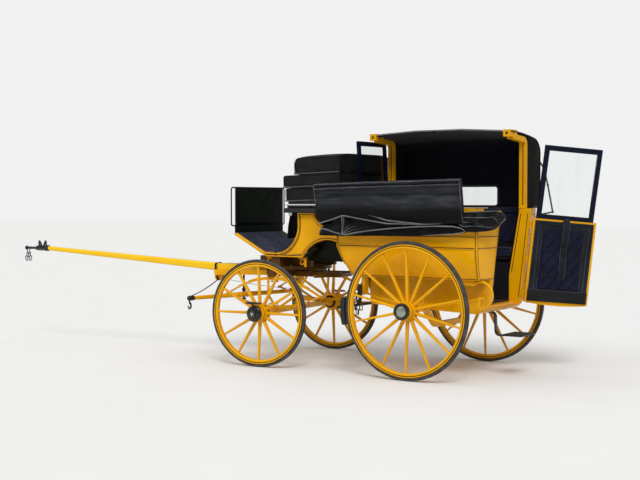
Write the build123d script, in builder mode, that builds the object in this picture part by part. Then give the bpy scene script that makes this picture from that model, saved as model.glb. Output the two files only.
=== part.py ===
"""A four-wheeled wagonette with folding half-heads, a box seat, a pole and a rear door.

Units are millimetres. +X runs forward along the carriage, +Y to its left and +Z up.
Every place below is measured from the point on the ground under the middle of the
rear axle. The front carriage is measured from its king pin, square to its own axle.
All pieces are moved at the end, so that the origin lies on the ground under the
middle of the whole length.
"""
import os
from math import cos, radians, sin, tan

from build123d import *

# Wheels
REAR_DIAMETER = 1200
FRONT_DIAMETER = 1000
REAR_SPOKES = 14
FRONT_SPOKES = 12
TRACK = 1550
WHEELBASE = 1654
TYRE_THICK = 24
TYRE_WIDTH = 34
FELLOE_DEPTH = 42
FELLOE_WIDTH = 46
SPOKE_FOOT = 40
SPOKE_THICK = 28
SPOKE_TAPER = 0.9
DISH = 30
NAVE_RADIUS = 84
NAVE_INNER = 105
NAVE_OUTER = 56
HUB_RADIUS = 70
HUB_FACE = 90
HUB_WALL = 14
AXLE_ARM_RADIUS = 22
RUNNING_CLEARANCE = 0.08
AXLE_BAR = 46
AXLE_NUT_RADIUS = 34
AXLE_NUT_LENGTH = 24
FRONT_NUT_REACH = 114
HUB_STEP_RISE = 94
HUB_STEP_LENGTH = 160
HUB_STEP_WIDTH = 68

# Rear axle, dropped below the foot well
DROP_Z = 440
DROP_HALF = 250
DROP_TOP_HALF = 440
DROP_BEND = 90

# Springs
SPRING_Y = 500
SPRING_WIDTH = 45
LEAF = 9
LEAF_COUNT = 3
LEAF_LAP = 0.6
SPRING_EYE = 14
FRONT_SPRING_HALF = 500
FRONT_SPRING_EYE_Z = 650
FRONT_SPRING_TOP_Z = 800
REAR_SPRING_HALF = 575
REAR_SPRING_EYE_Z = 715
SCROLL_BAR = 24
SCROLL_ROOT_X = -500
SCROLL_BACK_X = -680
SCROLL_BACK_Z = 735
SCROLL_KNOB_X = -560
SCROLL_KNOB_Z = 630
LINK_THICK = 8

# Front carriage, measured from the king pin
STEER_REST = 6.0
BED_WIDTH = 70
RING_RADIUS = 330
RING_BAND = 40
RING_THICK = 14
RING_Z = 900
RING_GAP = 2
BEARER_HALF = 300
KING_PIN_RADIUS = 16
BED_BOSS_RADIUS = 70
BED_BOSS_DROP = 70
FUTCHELL_Y = 110
FUTCHELL_WIDTH = 44
FUTCHELL_HEIGHT = 50
FUTCHELL_Z = 835
FUTCHELL_FRONT = 900
FUTCHELL_REAR = -520
FUTCHELL_BEND_X = 380
FUTCHELL_DIP = 12
CROSS_HALF = 420
CROSS_SWEEP = 120
CROSS_WIDTH = 36
CROSS_THICK = 30
AXLE_STAY_RADIUS = 12
AXLE_STAY_TOP = (238, 190)
AXLE_STAY_FOOT_Y = 425
AXLE_STAY_BEND = 0.62

# Pole and swing bar
POLE_REAR_X = 400
POLE_NOSE_X = 3165
POLE_REAR_Z = 858
POLE_NOSE_Z = 1019
POLE_REAR_SIZE = 100
POLE_NOSE_SIZE = 46
POLE_TIP_X = 3470
POLE_EYES = (3200, 3270)
POLE_EYE_RADIUS = 8
POLE_EYE_WIDTH = 12
POLE_LENGTH_BUTT = 480
POLE_BUTT_NOSE = 78
POLE_SOCKET = 150
POLE_SOCKET_RADIUS = 27
POLE_TIP_RADIUS = 14
POLE_BRACKET_X = 905
POLE_BRACKET = (86, 92, 62)
SWING_BAR_X = 630
SWING_BAR_Z = 600
SWING_BAR_HALF = 690
SWING_BAR_RADIUS = 26
SWING_BAR_END = 18
SWING_BAR_REST = -17.0
SWING_BOLT_RADIUS = 11

# Body
BODY_HALF = 600
WALL = 20
REAR_WALL = 14
BODY_BOTTOM_Z = 870
BODY_BOTTOM_HALF = BODY_HALF - 52
TURN_UNDER_Z = 1142
BELT_Z = 1440
RAIL_HEIGHT = 35
RAIL_WIDTH = 46
BODY_FRONT_X = 820
BODY_CORNER_X = -580
REAR_LEAN = 6.5
REAR_FOOT_X = -600
DOORWAY_HALF = 308
JAMB_DEPTH = 112
JAMB_SPREAD = 0.055
JAMB_WIDTH = 46
MOULDING = 15
MOULDING_RISE = 5
TOP_MOULDING_Z = 1238
CORNER_MOULDING_X = -572

# Foot well between the benches
WELL_HALF = 368
WELL_FRONT_X = 600
WELL_FRONT_Z = 606
WELL_REAR_Z = 560
WELL_RADIUS = 130
SILL_Z = 630
FLOOR = 22
STEP_ROOT_X = -470
STEP_END_X = -790
STEP_Z = 366
STEP_HALF = 150
STEP_TREAD = 190

# Benches
BENCH_Z = 1010
BENCH_THICK = 22
BENCH_LIP = 40
CUSHION = 90
SQUAB = 60

# Boot under the box seat
BOOT_HALF = 400
BOOT_WALL = 24
BOOT_TOP_Z = BELT_Z - 10
BOOT_BOTTOM_Z = 1008
TOE_X = 2125
TOE_Z = 1230
TOE_EDGE = 26
TOE_FLOOR_X = 1772
TOE_FLOOR_Z = 1045
TOE_FOOT_X = 1752
HEEL_TOP_X = 1384
HEEL_CURVE = ((1380, 1300), (1442, 1139), (1590, TOE_FLOOR_Z))
ARCH_CURVE = ((1335, BOOT_BOTTOM_Z), (1134, 1168), (BODY_FRONT_X, 1080))
WAIST_CURVE = ((1080, 1300), (1150, 1340), (1201, BOOT_TOP_Z))
FALL_CURVE = ((1496, BOOT_TOP_Z), (1514, 1320), (1530, 1192))
FALL_THICK = 7
BOARD_THICK = 14
BOX_HALF = 300
BOX_LOW_Z = 975
SEAT_HALF = 450
SEAT_REAR_X = 965
SEAT_FRONT_X = 1500
SEAT_TOP_Z = BOOT_TOP_Z + 45
SEAT_RAIL_RISE = 30
SEAT_RAIL_RADIUS = 6
PAD_REAR_X = 885
PAD_ROWS = (
    # low z, high z, front x, radius of its upper front edge
    (SEAT_TOP_Z + 47, SEAT_TOP_Z + 211, 1500, 12),
    (SEAT_TOP_Z + 215, SEAT_TOP_Z + 343, 1520, 16),
    (SEAT_TOP_Z + 347, SEAT_TOP_Z + 517, 1400, 58),
)
DASH_HALF = 385
DASH_LOOP = 64
DASH_TOP_Z = 1672
DASH_SPLIT_Z = 1300
DASH_THICK = 12
DASH_RAIL = 7

# Half-heads
ROOF_Z = 2152
ROOF_CROWN = 38
HEAD_HALF = BODY_HALF + 30
HEAD_SIDE_Z = ROOF_Z - 162
HEAD_FRONT_X = 823
HEAD_REAR_X = -612
LEATHER = 8
LINING = 6
BOW_WIDTH = 46
BOW_DEPTH = 60
BOW_Y = 338
BOW_PLATE = (68, 146, 62)
BOW_PLATE_Y = -55
BOW_PLATE_Z = ROOF_Z - 14
WINDOW_REAR_X = -205
WINDOW_FRONT_X = 285
WINDOW_LOW_Z = BELT_Z + 50
WINDOW_HIGH_Z = BELT_Z + 245
WINDOW_ROUND = 34
GLASS = 5
SASH_Y = (-300, 205)
SASH_TOP_Z = ROOF_Z - 54
SASH_LEAN = 3.5
FOLD_INNER_Y = BODY_HALF + 52
FOLD_OUTER_Y = FOLD_INNER_Y + 60
FOLD_FRONT_X = 700
FOLD_REAR_X = -500
FOLD_REAR_Z = BELT_Z - 150
FOLD_ROLL = 62
CURTAIN_DROP = 22
FOLD_HIGH = ((-469, BELT_Z + 284), (1011, BELT_Z + 250), (1000, BELT_Z + 10))
FOLD_LOW = ((966, BELT_Z - 98), (687, BELT_Z - 32), (252, BELT_Z - 90),
            (-96, BELT_Z - 104), (-483, BELT_Z - 100))
FLAP_LOW = ((-512, BELT_Z - 148), (-218, BELT_Z - 182), (687, BELT_Z - 208), (973, BELT_Z - 200))
STAY_RADIUS = 8

# Door
DOOR_WIDTH = 602
DOOR_THICK = 30
DOOR_FOOT_Z = 640
DOOR_HEIGHT = 758
DOOR_OPEN = 132.0
DOOR_SIDE_GAP = 9
DOOR_BOW = 20
HINGE_Y = -306
DOOR_STAND = 10
DOOR_REBATE = 8
HINGE_RADIUS = 9
HINGE_PIN = 4
HINGE_LEAF = 34
HINGE_PLATE = 26
HINGE_HEIGHTS = (70, 380, 690)
SASH_HEIGHT = 655
SASH_BAR = 42
SASH_THICK = 24
SASH_BEND = 3.0

# Brake
BRAKE_X = 672
BRAKE_Z = 600
BRAKE_ROD = 13
BRAKE_GAP = 9

# Farther than any piece reaches, for cutting blocks
FAR = 3000

pieces = []


def keep(piece, label, place=Location()):
    """Label a finished piece and keep it, in its place, for writing."""
    solid = place * piece.part
    solid.label = label
    pieces.append(solid)


def rod(start, end, radius, mode=Mode.ADD):
    """A round rod from start to end, in the part that is being built."""
    start = Vector(*start)
    along = Vector(*end) - start
    with BuildSketch(Plane(origin=start, z_dir=along)) as end_face:
        Circle(radius)
    extrude(end_face.sketch, amount=along.length, mode=mode)


def block(low, high, mode=Mode.ADD):
    """A block between two opposite corners, in the part that is being built."""
    size = [b - a for a, b in zip(low, high)]
    with Locations([tuple((b + a) / 2 for a, b in zip(low, high))]):
        Box(*size, mode=mode)


# Wheels. Each is made at the origin with its axle along Y and its outer face at +Y.
def wheel_wood(diameter, spokes):
    felloe_out = diameter / 2 - TYRE_THICK
    felloe_in = felloe_out - FELLOE_DEPTH
    foot = NAVE_RADIUS - 12
    rise = Vector(0, DISH, felloe_in + 6 - foot)
    with BuildPart() as wood:
        with BuildSketch(Plane.YZ):
            with Locations((0, (felloe_out + felloe_in) / 2)):
                RectangleRounded(FELLOE_WIDTH, FELLOE_DEPTH, 8)
        revolve(axis=Axis.Y)
        with BuildSketch(Plane.YZ):
            with BuildLine():
                Polyline((-NAVE_INNER, 0), (-NAVE_INNER, 62), (-DISH - 34, NAVE_RADIUS),
                         (-DISH + 34, NAVE_RADIUS), (NAVE_OUTER, HUB_RADIUS), (NAVE_OUTER, 0), close=True)
            make_face()
        revolve(axis=Axis.Y)
        for number in range(spokes):
            turn = Axis.Y
            foot_place = Vector(0, -DISH, foot).rotate(turn, 360 * number / spokes)
            along = rise.rotate(turn, 360 * number / spokes)
            with BuildSketch(Plane(origin=foot_place, x_dir=(0, 1, 0), z_dir=along)):
                spoke = Rectangle(SPOKE_FOOT, SPOKE_THICK)
                chamfer(spoke.vertices(), 8)
            extrude(amount=along.length, taper=SPOKE_TAPER)
        with BuildSketch(Plane.XZ):
            Circle(AXLE_ARM_RADIUS + RUNNING_CLEARANCE)
        extrude(amount=HUB_FACE * 3, both=True, mode=Mode.SUBTRACT)
        # The iron band on the end of the nave, round the axle's nut.
        with BuildSketch(Plane.YZ):
            with BuildLine():
                Polyline((NAVE_OUTER - 2, HUB_RADIUS - HUB_WALL - 8), (NAVE_OUTER - 2, HUB_RADIUS),
                         (HUB_FACE - 8, HUB_RADIUS), (HUB_FACE, HUB_RADIUS - 8),
                         (HUB_FACE, HUB_RADIUS - HUB_WALL), (NAVE_OUTER + 10, HUB_RADIUS - HUB_WALL),
                         (NAVE_OUTER + 10, HUB_RADIUS - HUB_WALL - 8), close=True)
            make_face()
        revolve(axis=Axis.Y)
    return wood


def wheel_tyre(diameter):
    outer = diameter / 2
    with BuildPart() as tyre:
        with BuildSketch(Plane.YZ):
            with Locations((0, outer - TYRE_THICK / 2)):
                rubber = Rectangle(TYRE_WIDTH, TYRE_THICK)
            fillet(rubber.vertices().group_by(Axis.Y)[-1], 10)
        revolve(axis=Axis.Y)
    return tyre


front_place = Location((WHEELBASE, 0, 0), (0, 0, STEER_REST))
wheel_rows = (
    # name, place of its carriage, diameter, spokes, side
    ("front_left", front_place, FRONT_DIAMETER, FRONT_SPOKES, 1),
    ("front_right", front_place, FRONT_DIAMETER, FRONT_SPOKES, -1),
    ("rear_left", Location(), REAR_DIAMETER, REAR_SPOKES, 1),
    ("rear_right", Location(), REAR_DIAMETER, REAR_SPOKES, -1),
)
for name, carriage, diameter, spokes, side in wheel_rows:
    turn = 0 if side > 0 else 180
    place = carriage * Location((0, side * TRACK / 2, diameter / 2), (0, 0, turn))
    keep(wheel_wood(diameter, spokes), "wheel_" + name, place)
    keep(wheel_tyre(diameter), "tyre_" + name, place)


# Axles
def axle_arms(height):
    """The two round arms that the wheels turn on, with their end nuts."""
    inner = TRACK / 2 - NAVE_INNER - 12
    for side in (1, -1):
        rod((0, side * inner, height), (0, side * (TRACK / 2 + NAVE_OUTER + 14), height), AXLE_ARM_RADIUS)
        rod((0, side * inner, height), (0, side * (inner + 8), height), AXLE_ARM_RADIUS + 22)
        nut_foot = (0, side * (TRACK / 2 + NAVE_OUTER + 4), height)
        with BuildSketch(Plane(origin=nut_foot, z_dir=(0, side, 0))) as nut:
            RegularPolygon(AXLE_NUT_RADIUS, 6)
        extrude(nut.sketch, amount=AXLE_NUT_LENGTH)


rear_axle_z = REAR_DIAMETER / 2
front_axle_z = FRONT_DIAMETER / 2
axle_end = TRACK / 2 - NAVE_INNER - 8

with BuildPart() as rear_axle:
    with BuildSketch(Plane.YZ):
        with BuildLine():
            FilletPolyline((-axle_end, rear_axle_z), (-DROP_TOP_HALF, rear_axle_z), (-DROP_HALF, DROP_Z),
                           (DROP_HALF, DROP_Z), (DROP_TOP_HALF, rear_axle_z), (axle_end, rear_axle_z),
                           radius=DROP_BEND)
        trace(line_width=AXLE_BAR)
    extrude(amount=AXLE_BAR / 2, both=True)
    axle_arms(rear_axle_z)
keep(rear_axle, "rear_axle")

with BuildPart() as front_axle:
    half_bar = AXLE_BAR / 2
    block((-half_bar, -axle_end, front_axle_z - half_bar), (half_bar, axle_end, front_axle_z + half_bar))
    axle_arms(front_axle_z)
    # The oval plate over each front hub stands on the end of the axle.
    for side in (1, -1):
        end = side * (TRACK / 2 + FRONT_NUT_REACH)
        stem = end - side * 9
        rod((0, side * TRACK / 2, front_axle_z), (0, end, front_axle_z), AXLE_ARM_RADIUS)
        rod((0, stem, front_axle_z), (0, stem, front_axle_z + HUB_STEP_RISE + 4), 8)
        with BuildSketch(Plane.XY.offset(front_axle_z + HUB_STEP_RISE)):
            with Locations((0, end - side * HUB_STEP_WIDTH / 3)):
                Ellipse(HUB_STEP_LENGTH / 2, HUB_STEP_WIDTH / 2)
        extrude(amount=8)
keep(front_axle, "front_axle", front_place)


# Springs. A leaf is an arc through two eyes and a crown.
def leaf_stack(half, eye_z, crown_z, y, leaves=LEAF_COUNT):
    """One bank of leaves, each shorter than the one before, on the crown's side."""
    side = 1 if crown_z > eye_z else -1
    rise = crown_z - eye_z
    with BuildSketch(Plane.XZ.offset(-y)) as leaves_face:
        with BuildLine():
            ThreePointArc((-half, eye_z), (0, crown_z), (half, eye_z))
        trace(line_width=LEAF)
        for number in range(1, leaves):
            reach = 1 - 0.24 * number
            low = crown_z - rise * reach ** 2 + side * LEAF * number
            with BuildLine():
                ThreePointArc((-half * reach, low), (0, crown_z + side * LEAF * number), (half * reach, low))
            trace(line_width=LEAF + LEAF_LAP)
        with Locations((-half, eye_z), (half, eye_z)):
            Circle(SPRING_EYE)
    extrude(leaves_face.sketch, amount=SPRING_WIDTH / 2, both=True)


stack_height = LEAF * (LEAF_COUNT - 0.5) + LEAF_LAP / 2
front_seat_z = front_axle_z + AXLE_BAR / 2
rear_seat_z = rear_axle_z + AXLE_BAR / 2
with BuildPart() as front_springs:
    for side in (1, -1):
        y = side * SPRING_Y
        leaf_stack(FRONT_SPRING_HALF, FRONT_SPRING_EYE_Z, FRONT_SPRING_TOP_Z, y)
        low_crown = front_seat_z + stack_height
        leaf_stack(FRONT_SPRING_HALF, FRONT_SPRING_EYE_Z, low_crown, y)
        block((-45, y - 28, front_seat_z), (45, y + 28, front_seat_z + LEAF * LEAF_COUNT))
keep(front_springs, "front_springs", front_place)

with BuildPart() as rear_springs:
    for side in (1, -1):
        y = side * SPRING_Y
        leaf_stack(REAR_SPRING_HALF, REAR_SPRING_EYE_Z, rear_seat_z + stack_height, y)
        block((-45, y - 28, rear_seat_z), (45, y + 28, rear_seat_z + LEAF * LEAF_COUNT))
keep(rear_springs, "rear_springs")


# Front carriage: beds, futchells, lower ring, pole and swing bar
spring_top = FRONT_SPRING_TOP_Z + stack_height
ring_low_z = RING_Z - RING_THICK
with BuildPart() as front_bed:
    block((-BED_WIDTH / 2, -SPRING_Y - 40, spring_top), (BED_WIDTH / 2, SPRING_Y + 40, ring_low_z))
    rod((0, 0, ring_low_z - BED_BOSS_DROP), (0, 0, RING_Z), BED_BOSS_RADIUS)
    with Locations((0, 0, ring_low_z)):
        Cylinder(KING_PIN_RADIUS + RUNNING_CLEARANCE, 4 * BED_BOSS_DROP, mode=Mode.SUBTRACT)
    with BuildSketch(Plane.XY.offset(ring_low_z)):
        Circle(RING_RADIUS)
        Circle(RING_RADIUS - RING_BAND, mode=Mode.SUBTRACT)
    extrude(amount=RING_THICK)

with BuildPart() as futchells:
    for side in (1, -1):
        y = side * FUTCHELL_Y
        with BuildSketch(Plane.XZ.offset(-y)):
            with BuildLine():
                FilletPolyline((FUTCHELL_REAR, FUTCHELL_Z), (FUTCHELL_BEND_X, FUTCHELL_Z),
                               (FUTCHELL_FRONT, FUTCHELL_Z - FUTCHELL_DIP), radius=200)
            trace(line_width=FUTCHELL_HEIGHT)
        extrude(amount=FUTCHELL_WIDTH / 2, both=True)
    with BuildSketch(Plane.XY.offset(FUTCHELL_Z - CROSS_THICK / 2)):
        with BuildLine():
            cross_x = FUTCHELL_REAR + CROSS_SWEEP
            ThreePointArc((cross_x, -CROSS_HALF), (FUTCHELL_REAR, 0), (cross_x, CROSS_HALF))
        trace(line_width=CROSS_WIDTH)
    extrude(amount=CROSS_THICK)
    # The bracket under the front ends, which the pole's strap goes round.
    bracket_low = FUTCHELL_Z - FUTCHELL_DIP - FUTCHELL_HEIGHT / 2 - POLE_BRACKET[2]
    with Locations((POLE_BRACKET_X, 0, bracket_low + POLE_BRACKET[2] / 2)):
        bracket = Box(*POLE_BRACKET)
    chamfer(bracket.edges().filter_by(Axis.Y).group_by(Axis.Z)[0], POLE_BRACKET[2] / 3)
    plate_top = bracket_low + POLE_BRACKET[2] + 4
    block((POLE_BRACKET_X - 70, -FUTCHELL_Y, plate_top - 14), (FUTCHELL_FRONT, FUTCHELL_Y, plate_top))
    block((-BED_WIDTH / 2, -SPRING_Y - 40, spring_top), (BED_WIDTH / 2, SPRING_Y + 40, ring_low_z),
          mode=Mode.SUBTRACT)
    with Locations((0, 0, ring_low_z)):
        Cylinder(BED_BOSS_RADIUS, 4 * BED_BOSS_DROP, mode=Mode.SUBTRACT)
keep(futchells, "futchells", front_place)

# Four bent stays run from under the ring down to the front axle.
with BuildPart() as front_bed_stays:
    top_x, top_y = AXLE_STAY_TOP
    for side_x in (1, -1):
        for side_y in (1, -1):
            top = (side_x * top_x, side_y * top_y, RING_Z - RING_THICK - 4)
            foot = (side_x * AXLE_BAR / 4, side_y * AXLE_STAY_FOOT_Y, front_axle_z + AXLE_BAR / 2 - 2)
            bend_y = side_y * (top_y + (AXLE_STAY_FOOT_Y - top_y) * AXLE_STAY_BEND)
            bend = (side_x * top_x * AXLE_STAY_BEND, bend_y, front_axle_z + FUTCHELL_WIDTH * 3)
            rod(top, bend, AXLE_STAY_RADIUS)
            rod(bend, foot, AXLE_STAY_RADIUS)
            with Locations(bend):
                Sphere(AXLE_STAY_RADIUS)
    add(futchells.part, mode=Mode.SUBTRACT)
    add(front_axle.part, mode=Mode.SUBTRACT)
with BuildPart() as braced_bed:
    add(front_bed.part)
    add(front_bed_stays.part)
keep(braced_bed, "front_bed", front_place)

pole_half = FUTCHELL_Y - FUTCHELL_WIDTH / 2
with BuildPart() as pole:
    with BuildSketch(Plane.YZ.offset(POLE_REAR_X)):
        with Locations((0, POLE_REAR_Z)):
            butt = Rectangle(2 * pole_half, POLE_REAR_SIZE)
    extrude(amount=POLE_LENGTH_BUTT)
    with BuildSketch(Plane.YZ.offset(POLE_REAR_X + POLE_LENGTH_BUTT)):
        with Locations((0, POLE_REAR_Z + 10)):
            RectangleRounded(POLE_BUTT_NOSE, POLE_BUTT_NOSE, 20)
    with BuildSketch(Plane.YZ.offset(POLE_NOSE_X)):
        with Locations((0, POLE_NOSE_Z)):
            RectangleRounded(POLE_NOSE_SIZE, POLE_NOSE_SIZE, 20)
    loft(ruled=True)
keep(pole, "pole", front_place)

with BuildPart() as pole_irons:
    socket_end = (POLE_NOSE_X + POLE_SOCKET, 0, POLE_NOSE_Z)
    rod((POLE_NOSE_X, 0, POLE_NOSE_Z), socket_end, POLE_SOCKET_RADIUS)
    rod(socket_end, (POLE_TIP_X, 0, POLE_NOSE_Z), POLE_TIP_RADIUS)
    for x in POLE_EYES:
        with Locations((x, 0, POLE_NOSE_Z + 38)):
            Box(34, POLE_EYE_WIDTH, 40)
            Cylinder(POLE_EYE_RADIUS, 3 * POLE_EYE_WIDTH, rotation=(90, 0, 0), mode=Mode.SUBTRACT)
    # The bolt that the swing bar turns on hangs from a strap under the futchells.
    bolt_top = POLE_REAR_Z - POLE_REAR_SIZE / 2
    rod((SWING_BAR_X, 0, SWING_BAR_Z - 50), (SWING_BAR_X, 0, bolt_top), SWING_BOLT_RADIUS)
    rod((SWING_BAR_X, 0, SWING_BAR_Z - 50), (SWING_BAR_X, 0, SWING_BAR_Z - 36), 24)
    rod((SWING_BAR_X, 0, SWING_BAR_Z + 34), (SWING_BAR_X, 0, SWING_BAR_Z + 60), 20)
keep(pole_irons, "pole_irons", front_place)

swing_place = front_place * Location((SWING_BAR_X, 0, SWING_BAR_Z), (0, 0, SWING_BAR_REST))
with BuildPart() as swing_bar:
    for side in (1, -1):
        with BuildSketch(Plane.XZ):
            Circle(SWING_BAR_RADIUS)
        with BuildSketch(Plane.XZ.offset(-side * SWING_BAR_HALF)):
            Circle(SWING_BAR_END)
        loft()
    Cylinder(SWING_BOLT_RADIUS + RUNNING_CLEARANCE, 90, mode=Mode.SUBTRACT)
    for side in (1, -1):
        y = side * SWING_BAR_HALF
        rod((0, y, 0), (0, y + side * 26, 0), SWING_BAR_END + 4)
        with BuildSketch(Plane.XZ.offset(-(y + side * 13))):
            with BuildLine():
                Polyline((0, 0), (0, -40))
                ThreePointArc((0, -40), (-24, -64), (0, -88))
            trace(line_width=9)
        extrude(amount=5, both=True)
keep(swing_bar, "swing_bar", swing_place)


ring_top_z = RING_Z + RING_GAP
with BuildPart() as upper_ring:
    with BuildSketch(Plane.XY.offset(ring_top_z)):
        Circle(RING_RADIUS)
        Circle(RING_RADIUS - RING_BAND, mode=Mode.SUBTRACT)
    extrude(amount=RING_THICK)
    block((-45, -BOOT_HALF + 20, ring_top_z + RING_THICK), (45, BOOT_HALF - 20, BOOT_BOTTOM_Z))
    for side in (1, -1):
        y = side * (RING_RADIUS - RING_BAND) * 0.7
        block((-BEARER_HALF, y - 22, ring_top_z + RING_THICK), (BEARER_HALF, y + 22, BOOT_BOTTOM_Z))
    rod((0, 0, ring_top_z), (0, 0, BOOT_BOTTOM_Z), KING_PIN_RADIUS + 14)
    head_top = ring_low_z - BED_BOSS_DROP - RING_GAP
    rod((0, 0, head_top - 20), (0, 0, head_top), 2 * KING_PIN_RADIUS)
    rod((0, 0, head_top - 20), (0, 0, BOOT_BOTTOM_Z), KING_PIN_RADIUS)
keep(upper_ring, "upper_ring", Location((WHEELBASE, 0, 0)))


# Body. The side walls stand upright to the waist and turn under below it.
def half_width(z):
    """Half the body's outer width at a height."""
    if z >= TURN_UNDER_Z:
        return BODY_HALF
    down = (TURN_UNDER_Z - z) / (TURN_UNDER_Z - BODY_BOTTOM_Z)
    return BODY_HALF - (BODY_HALF - BODY_BOTTOM_HALF) * down ** 2


def rear_x(z):
    """Where the leaning rear face of the body is at a height."""
    return REAR_FOOT_X - (z - BODY_BOTTOM_Z) * tan(radians(REAR_LEAN))


middle_z = (BODY_BOTTOM_Z + TURN_UNDER_Z) / 2
body_front_curve = ((-153, BODY_BOTTOM_Z), (-72, 1000), (-4, TURN_UNDER_Z))


def side_section(side, inset, thick):
    """The wall's section, set in from the outer face, as a closed line."""
    outer = BODY_HALF - inset
    with BuildLine() as outline:
        bend = ThreePointArc((side * outer, TURN_UNDER_Z), (side * (half_width(middle_z) - inset), middle_z),
                             (side * (BODY_BOTTOM_HALF - inset), BODY_BOTTOM_Z))
        back = ThreePointArc((side * (outer - thick), TURN_UNDER_Z),
                             (side * (half_width(middle_z) - inset - thick), middle_z),
                             (side * (BODY_BOTTOM_HALF - inset - thick), BODY_BOTTOM_Z))
        Polyline(bend @ 0, (side * outer, BELT_Z), (side * (outer - thick), BELT_Z), back @ 0)
        Line(bend @ 1, back @ 1)
    make_face(outline.edges())


def inside_body():
    """Keep only what lies between the inner faces of the side walls."""
    with BuildSketch(Plane.YZ.offset(2 * BODY_CORNER_X)) as room:
        with BuildLine():
            left = ThreePointArc((BODY_HALF - WALL, TURN_UNDER_Z), (half_width(middle_z) - WALL, middle_z),
                                 (BODY_BOTTOM_HALF - WALL, BODY_BOTTOM_Z))
            right = ThreePointArc((-BODY_HALF + WALL, TURN_UNDER_Z), (-half_width(middle_z) + WALL, middle_z),
                                  (-BODY_BOTTOM_HALF + WALL, BODY_BOTTOM_Z))
            Line(left @ 1, right @ 1)
            Polyline(left @ 0, (BODY_HALF - WALL, BELT_Z), (-BODY_HALF + WALL, BELT_Z), right @ 0)
        make_face()
    extrude(room.sketch, amount=5 * BODY_FRONT_X, mode=Mode.INTERSECT)


def front_outline(inset):
    """The body's front edge as points (x, z), from the bottom to the belt."""
    return [(BODY_FRONT_X + dx - inset, z) for dx, z in body_front_curve]


with BuildPart() as body_sides:
    for side in (1, -1):
        with BuildSketch(Plane.YZ.offset(BODY_CORNER_X)):
            side_section(side, 0, WALL)
        extrude(amount=BODY_FRONT_X - BODY_CORNER_X)
    with BuildSketch(Plane.XZ):
        with BuildLine():
            low, mid, high = front_outline(0)
            ThreePointArc(low, mid, high)
            Polyline(high, (BODY_FRONT_X, BELT_Z), (BODY_CORNER_X, BELT_Z),
                     (BODY_CORNER_X, BODY_BOTTOM_Z), low)
        make_face()
    extrude(amount=BODY_HALF * 2, both=True, mode=Mode.INTERSECT)
keep(body_sides, "body_sides")

with BuildPart() as rear_quarters:
    for side in (1, -1):
        for z in (BODY_BOTTOM_Z, TURN_UNDER_Z, BELT_Z):
            jamb = side * DOORWAY_HALF
            jamb_back = jamb + side * JAMB_WIDTH
            reveal_x = rear_x(z) + JAMB_DEPTH + (BELT_Z - z) * JAMB_SPREAD
            with BuildSketch(Plane.XY.offset(z)):
                with BuildLine():
                    Polyline((BODY_CORNER_X, side * half_width(z)), (rear_x(z), jamb), (reveal_x, jamb),
                             (reveal_x, jamb_back), (rear_x(z) + REAR_WALL, jamb_back),
                             (BODY_CORNER_X, side * (half_width(z) - WALL)), close=True)
                make_face()
        loft(ruled=True)
keep(rear_quarters, "rear_quarters")

with BuildPart() as body_mouldings:
    # A skin over each side wall, cut down to the strips that frame the panels.
    for side in (1, -1):
        with BuildSketch(Plane.YZ.offset(BODY_CORNER_X)):
            side_section(side, -MOULDING_RISE, MOULDING_RISE)
        extrude(amount=BODY_FRONT_X - BODY_CORNER_X)
    with BuildSketch(Plane.XZ):
        with BuildLine():
            low, mid, high = front_outline(MOULDING / 2)
            ThreePointArc(low, mid, high)
            Line(high, (high[0], BELT_Z))
        trace(line_width=MOULDING)
        with BuildLine():
            Line((CORNER_MOULDING_X, BODY_BOTTOM_Z), (CORNER_MOULDING_X, BELT_Z))
        trace(line_width=MOULDING)
        with BuildLine():
            Line((BODY_CORNER_X, BODY_BOTTOM_Z + MOULDING / 2), (low[0], BODY_BOTTOM_Z + MOULDING / 2))
        trace(line_width=MOULDING)
        for z in (TURN_UNDER_Z, TOP_MOULDING_Z):
            with BuildLine():
                Line((BODY_CORNER_X, z), (high[0], z))
            trace(line_width=MOULDING)
    extrude(amount=BODY_HALF * 2, both=True, mode=Mode.INTERSECT)
keep(body_mouldings, "body_mouldings")

with BuildPart() as bulkhead:
    with BuildSketch(Plane.XZ):
        with BuildLine():
            low, mid, high = front_outline(0)
            low_in, mid_in, high_in = front_outline(WALL)
            ThreePointArc(low, mid, high)
            ThreePointArc(low_in, mid_in, high_in)
            Line(low, low_in)
            Polyline(high, (BODY_FRONT_X, BELT_Z), (BODY_FRONT_X - WALL, BELT_Z), high_in)
        make_face()
    extrude(amount=BODY_HALF, both=True)
    inside_body()
keep(bulkhead, "bulkhead")

rail_top = BELT_Z + RAIL_HEIGHT
with BuildPart() as belt_rails:
    with BuildSketch(Plane.XY.offset(BELT_Z)):
        for side in (1, -1):
            jamb = side * DOORWAY_HALF
            out = side * (BODY_HALF + 8)
            inn = out - side * RAIL_WIDTH
            with BuildLine():
                reveal_x = rear_x(BELT_Z) + JAMB_DEPTH
                Polyline((BODY_FRONT_X, out), (BODY_CORNER_X - 4, out), (rear_x(BELT_Z), jamb),
                         (reveal_x, jamb), (reveal_x, jamb + side * JAMB_WIDTH), (BODY_CORNER_X + 30, inn),
                         (BODY_FRONT_X, inn), close=True)
            make_face()
    extrude(amount=RAIL_HEIGHT)
    block((BODY_FRONT_X - WALL - 16, -BODY_HALF - 8, BELT_Z), (BODY_FRONT_X + 8, BODY_HALF + 8, rail_top))
keep(belt_rails, "belt_rails")

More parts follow.
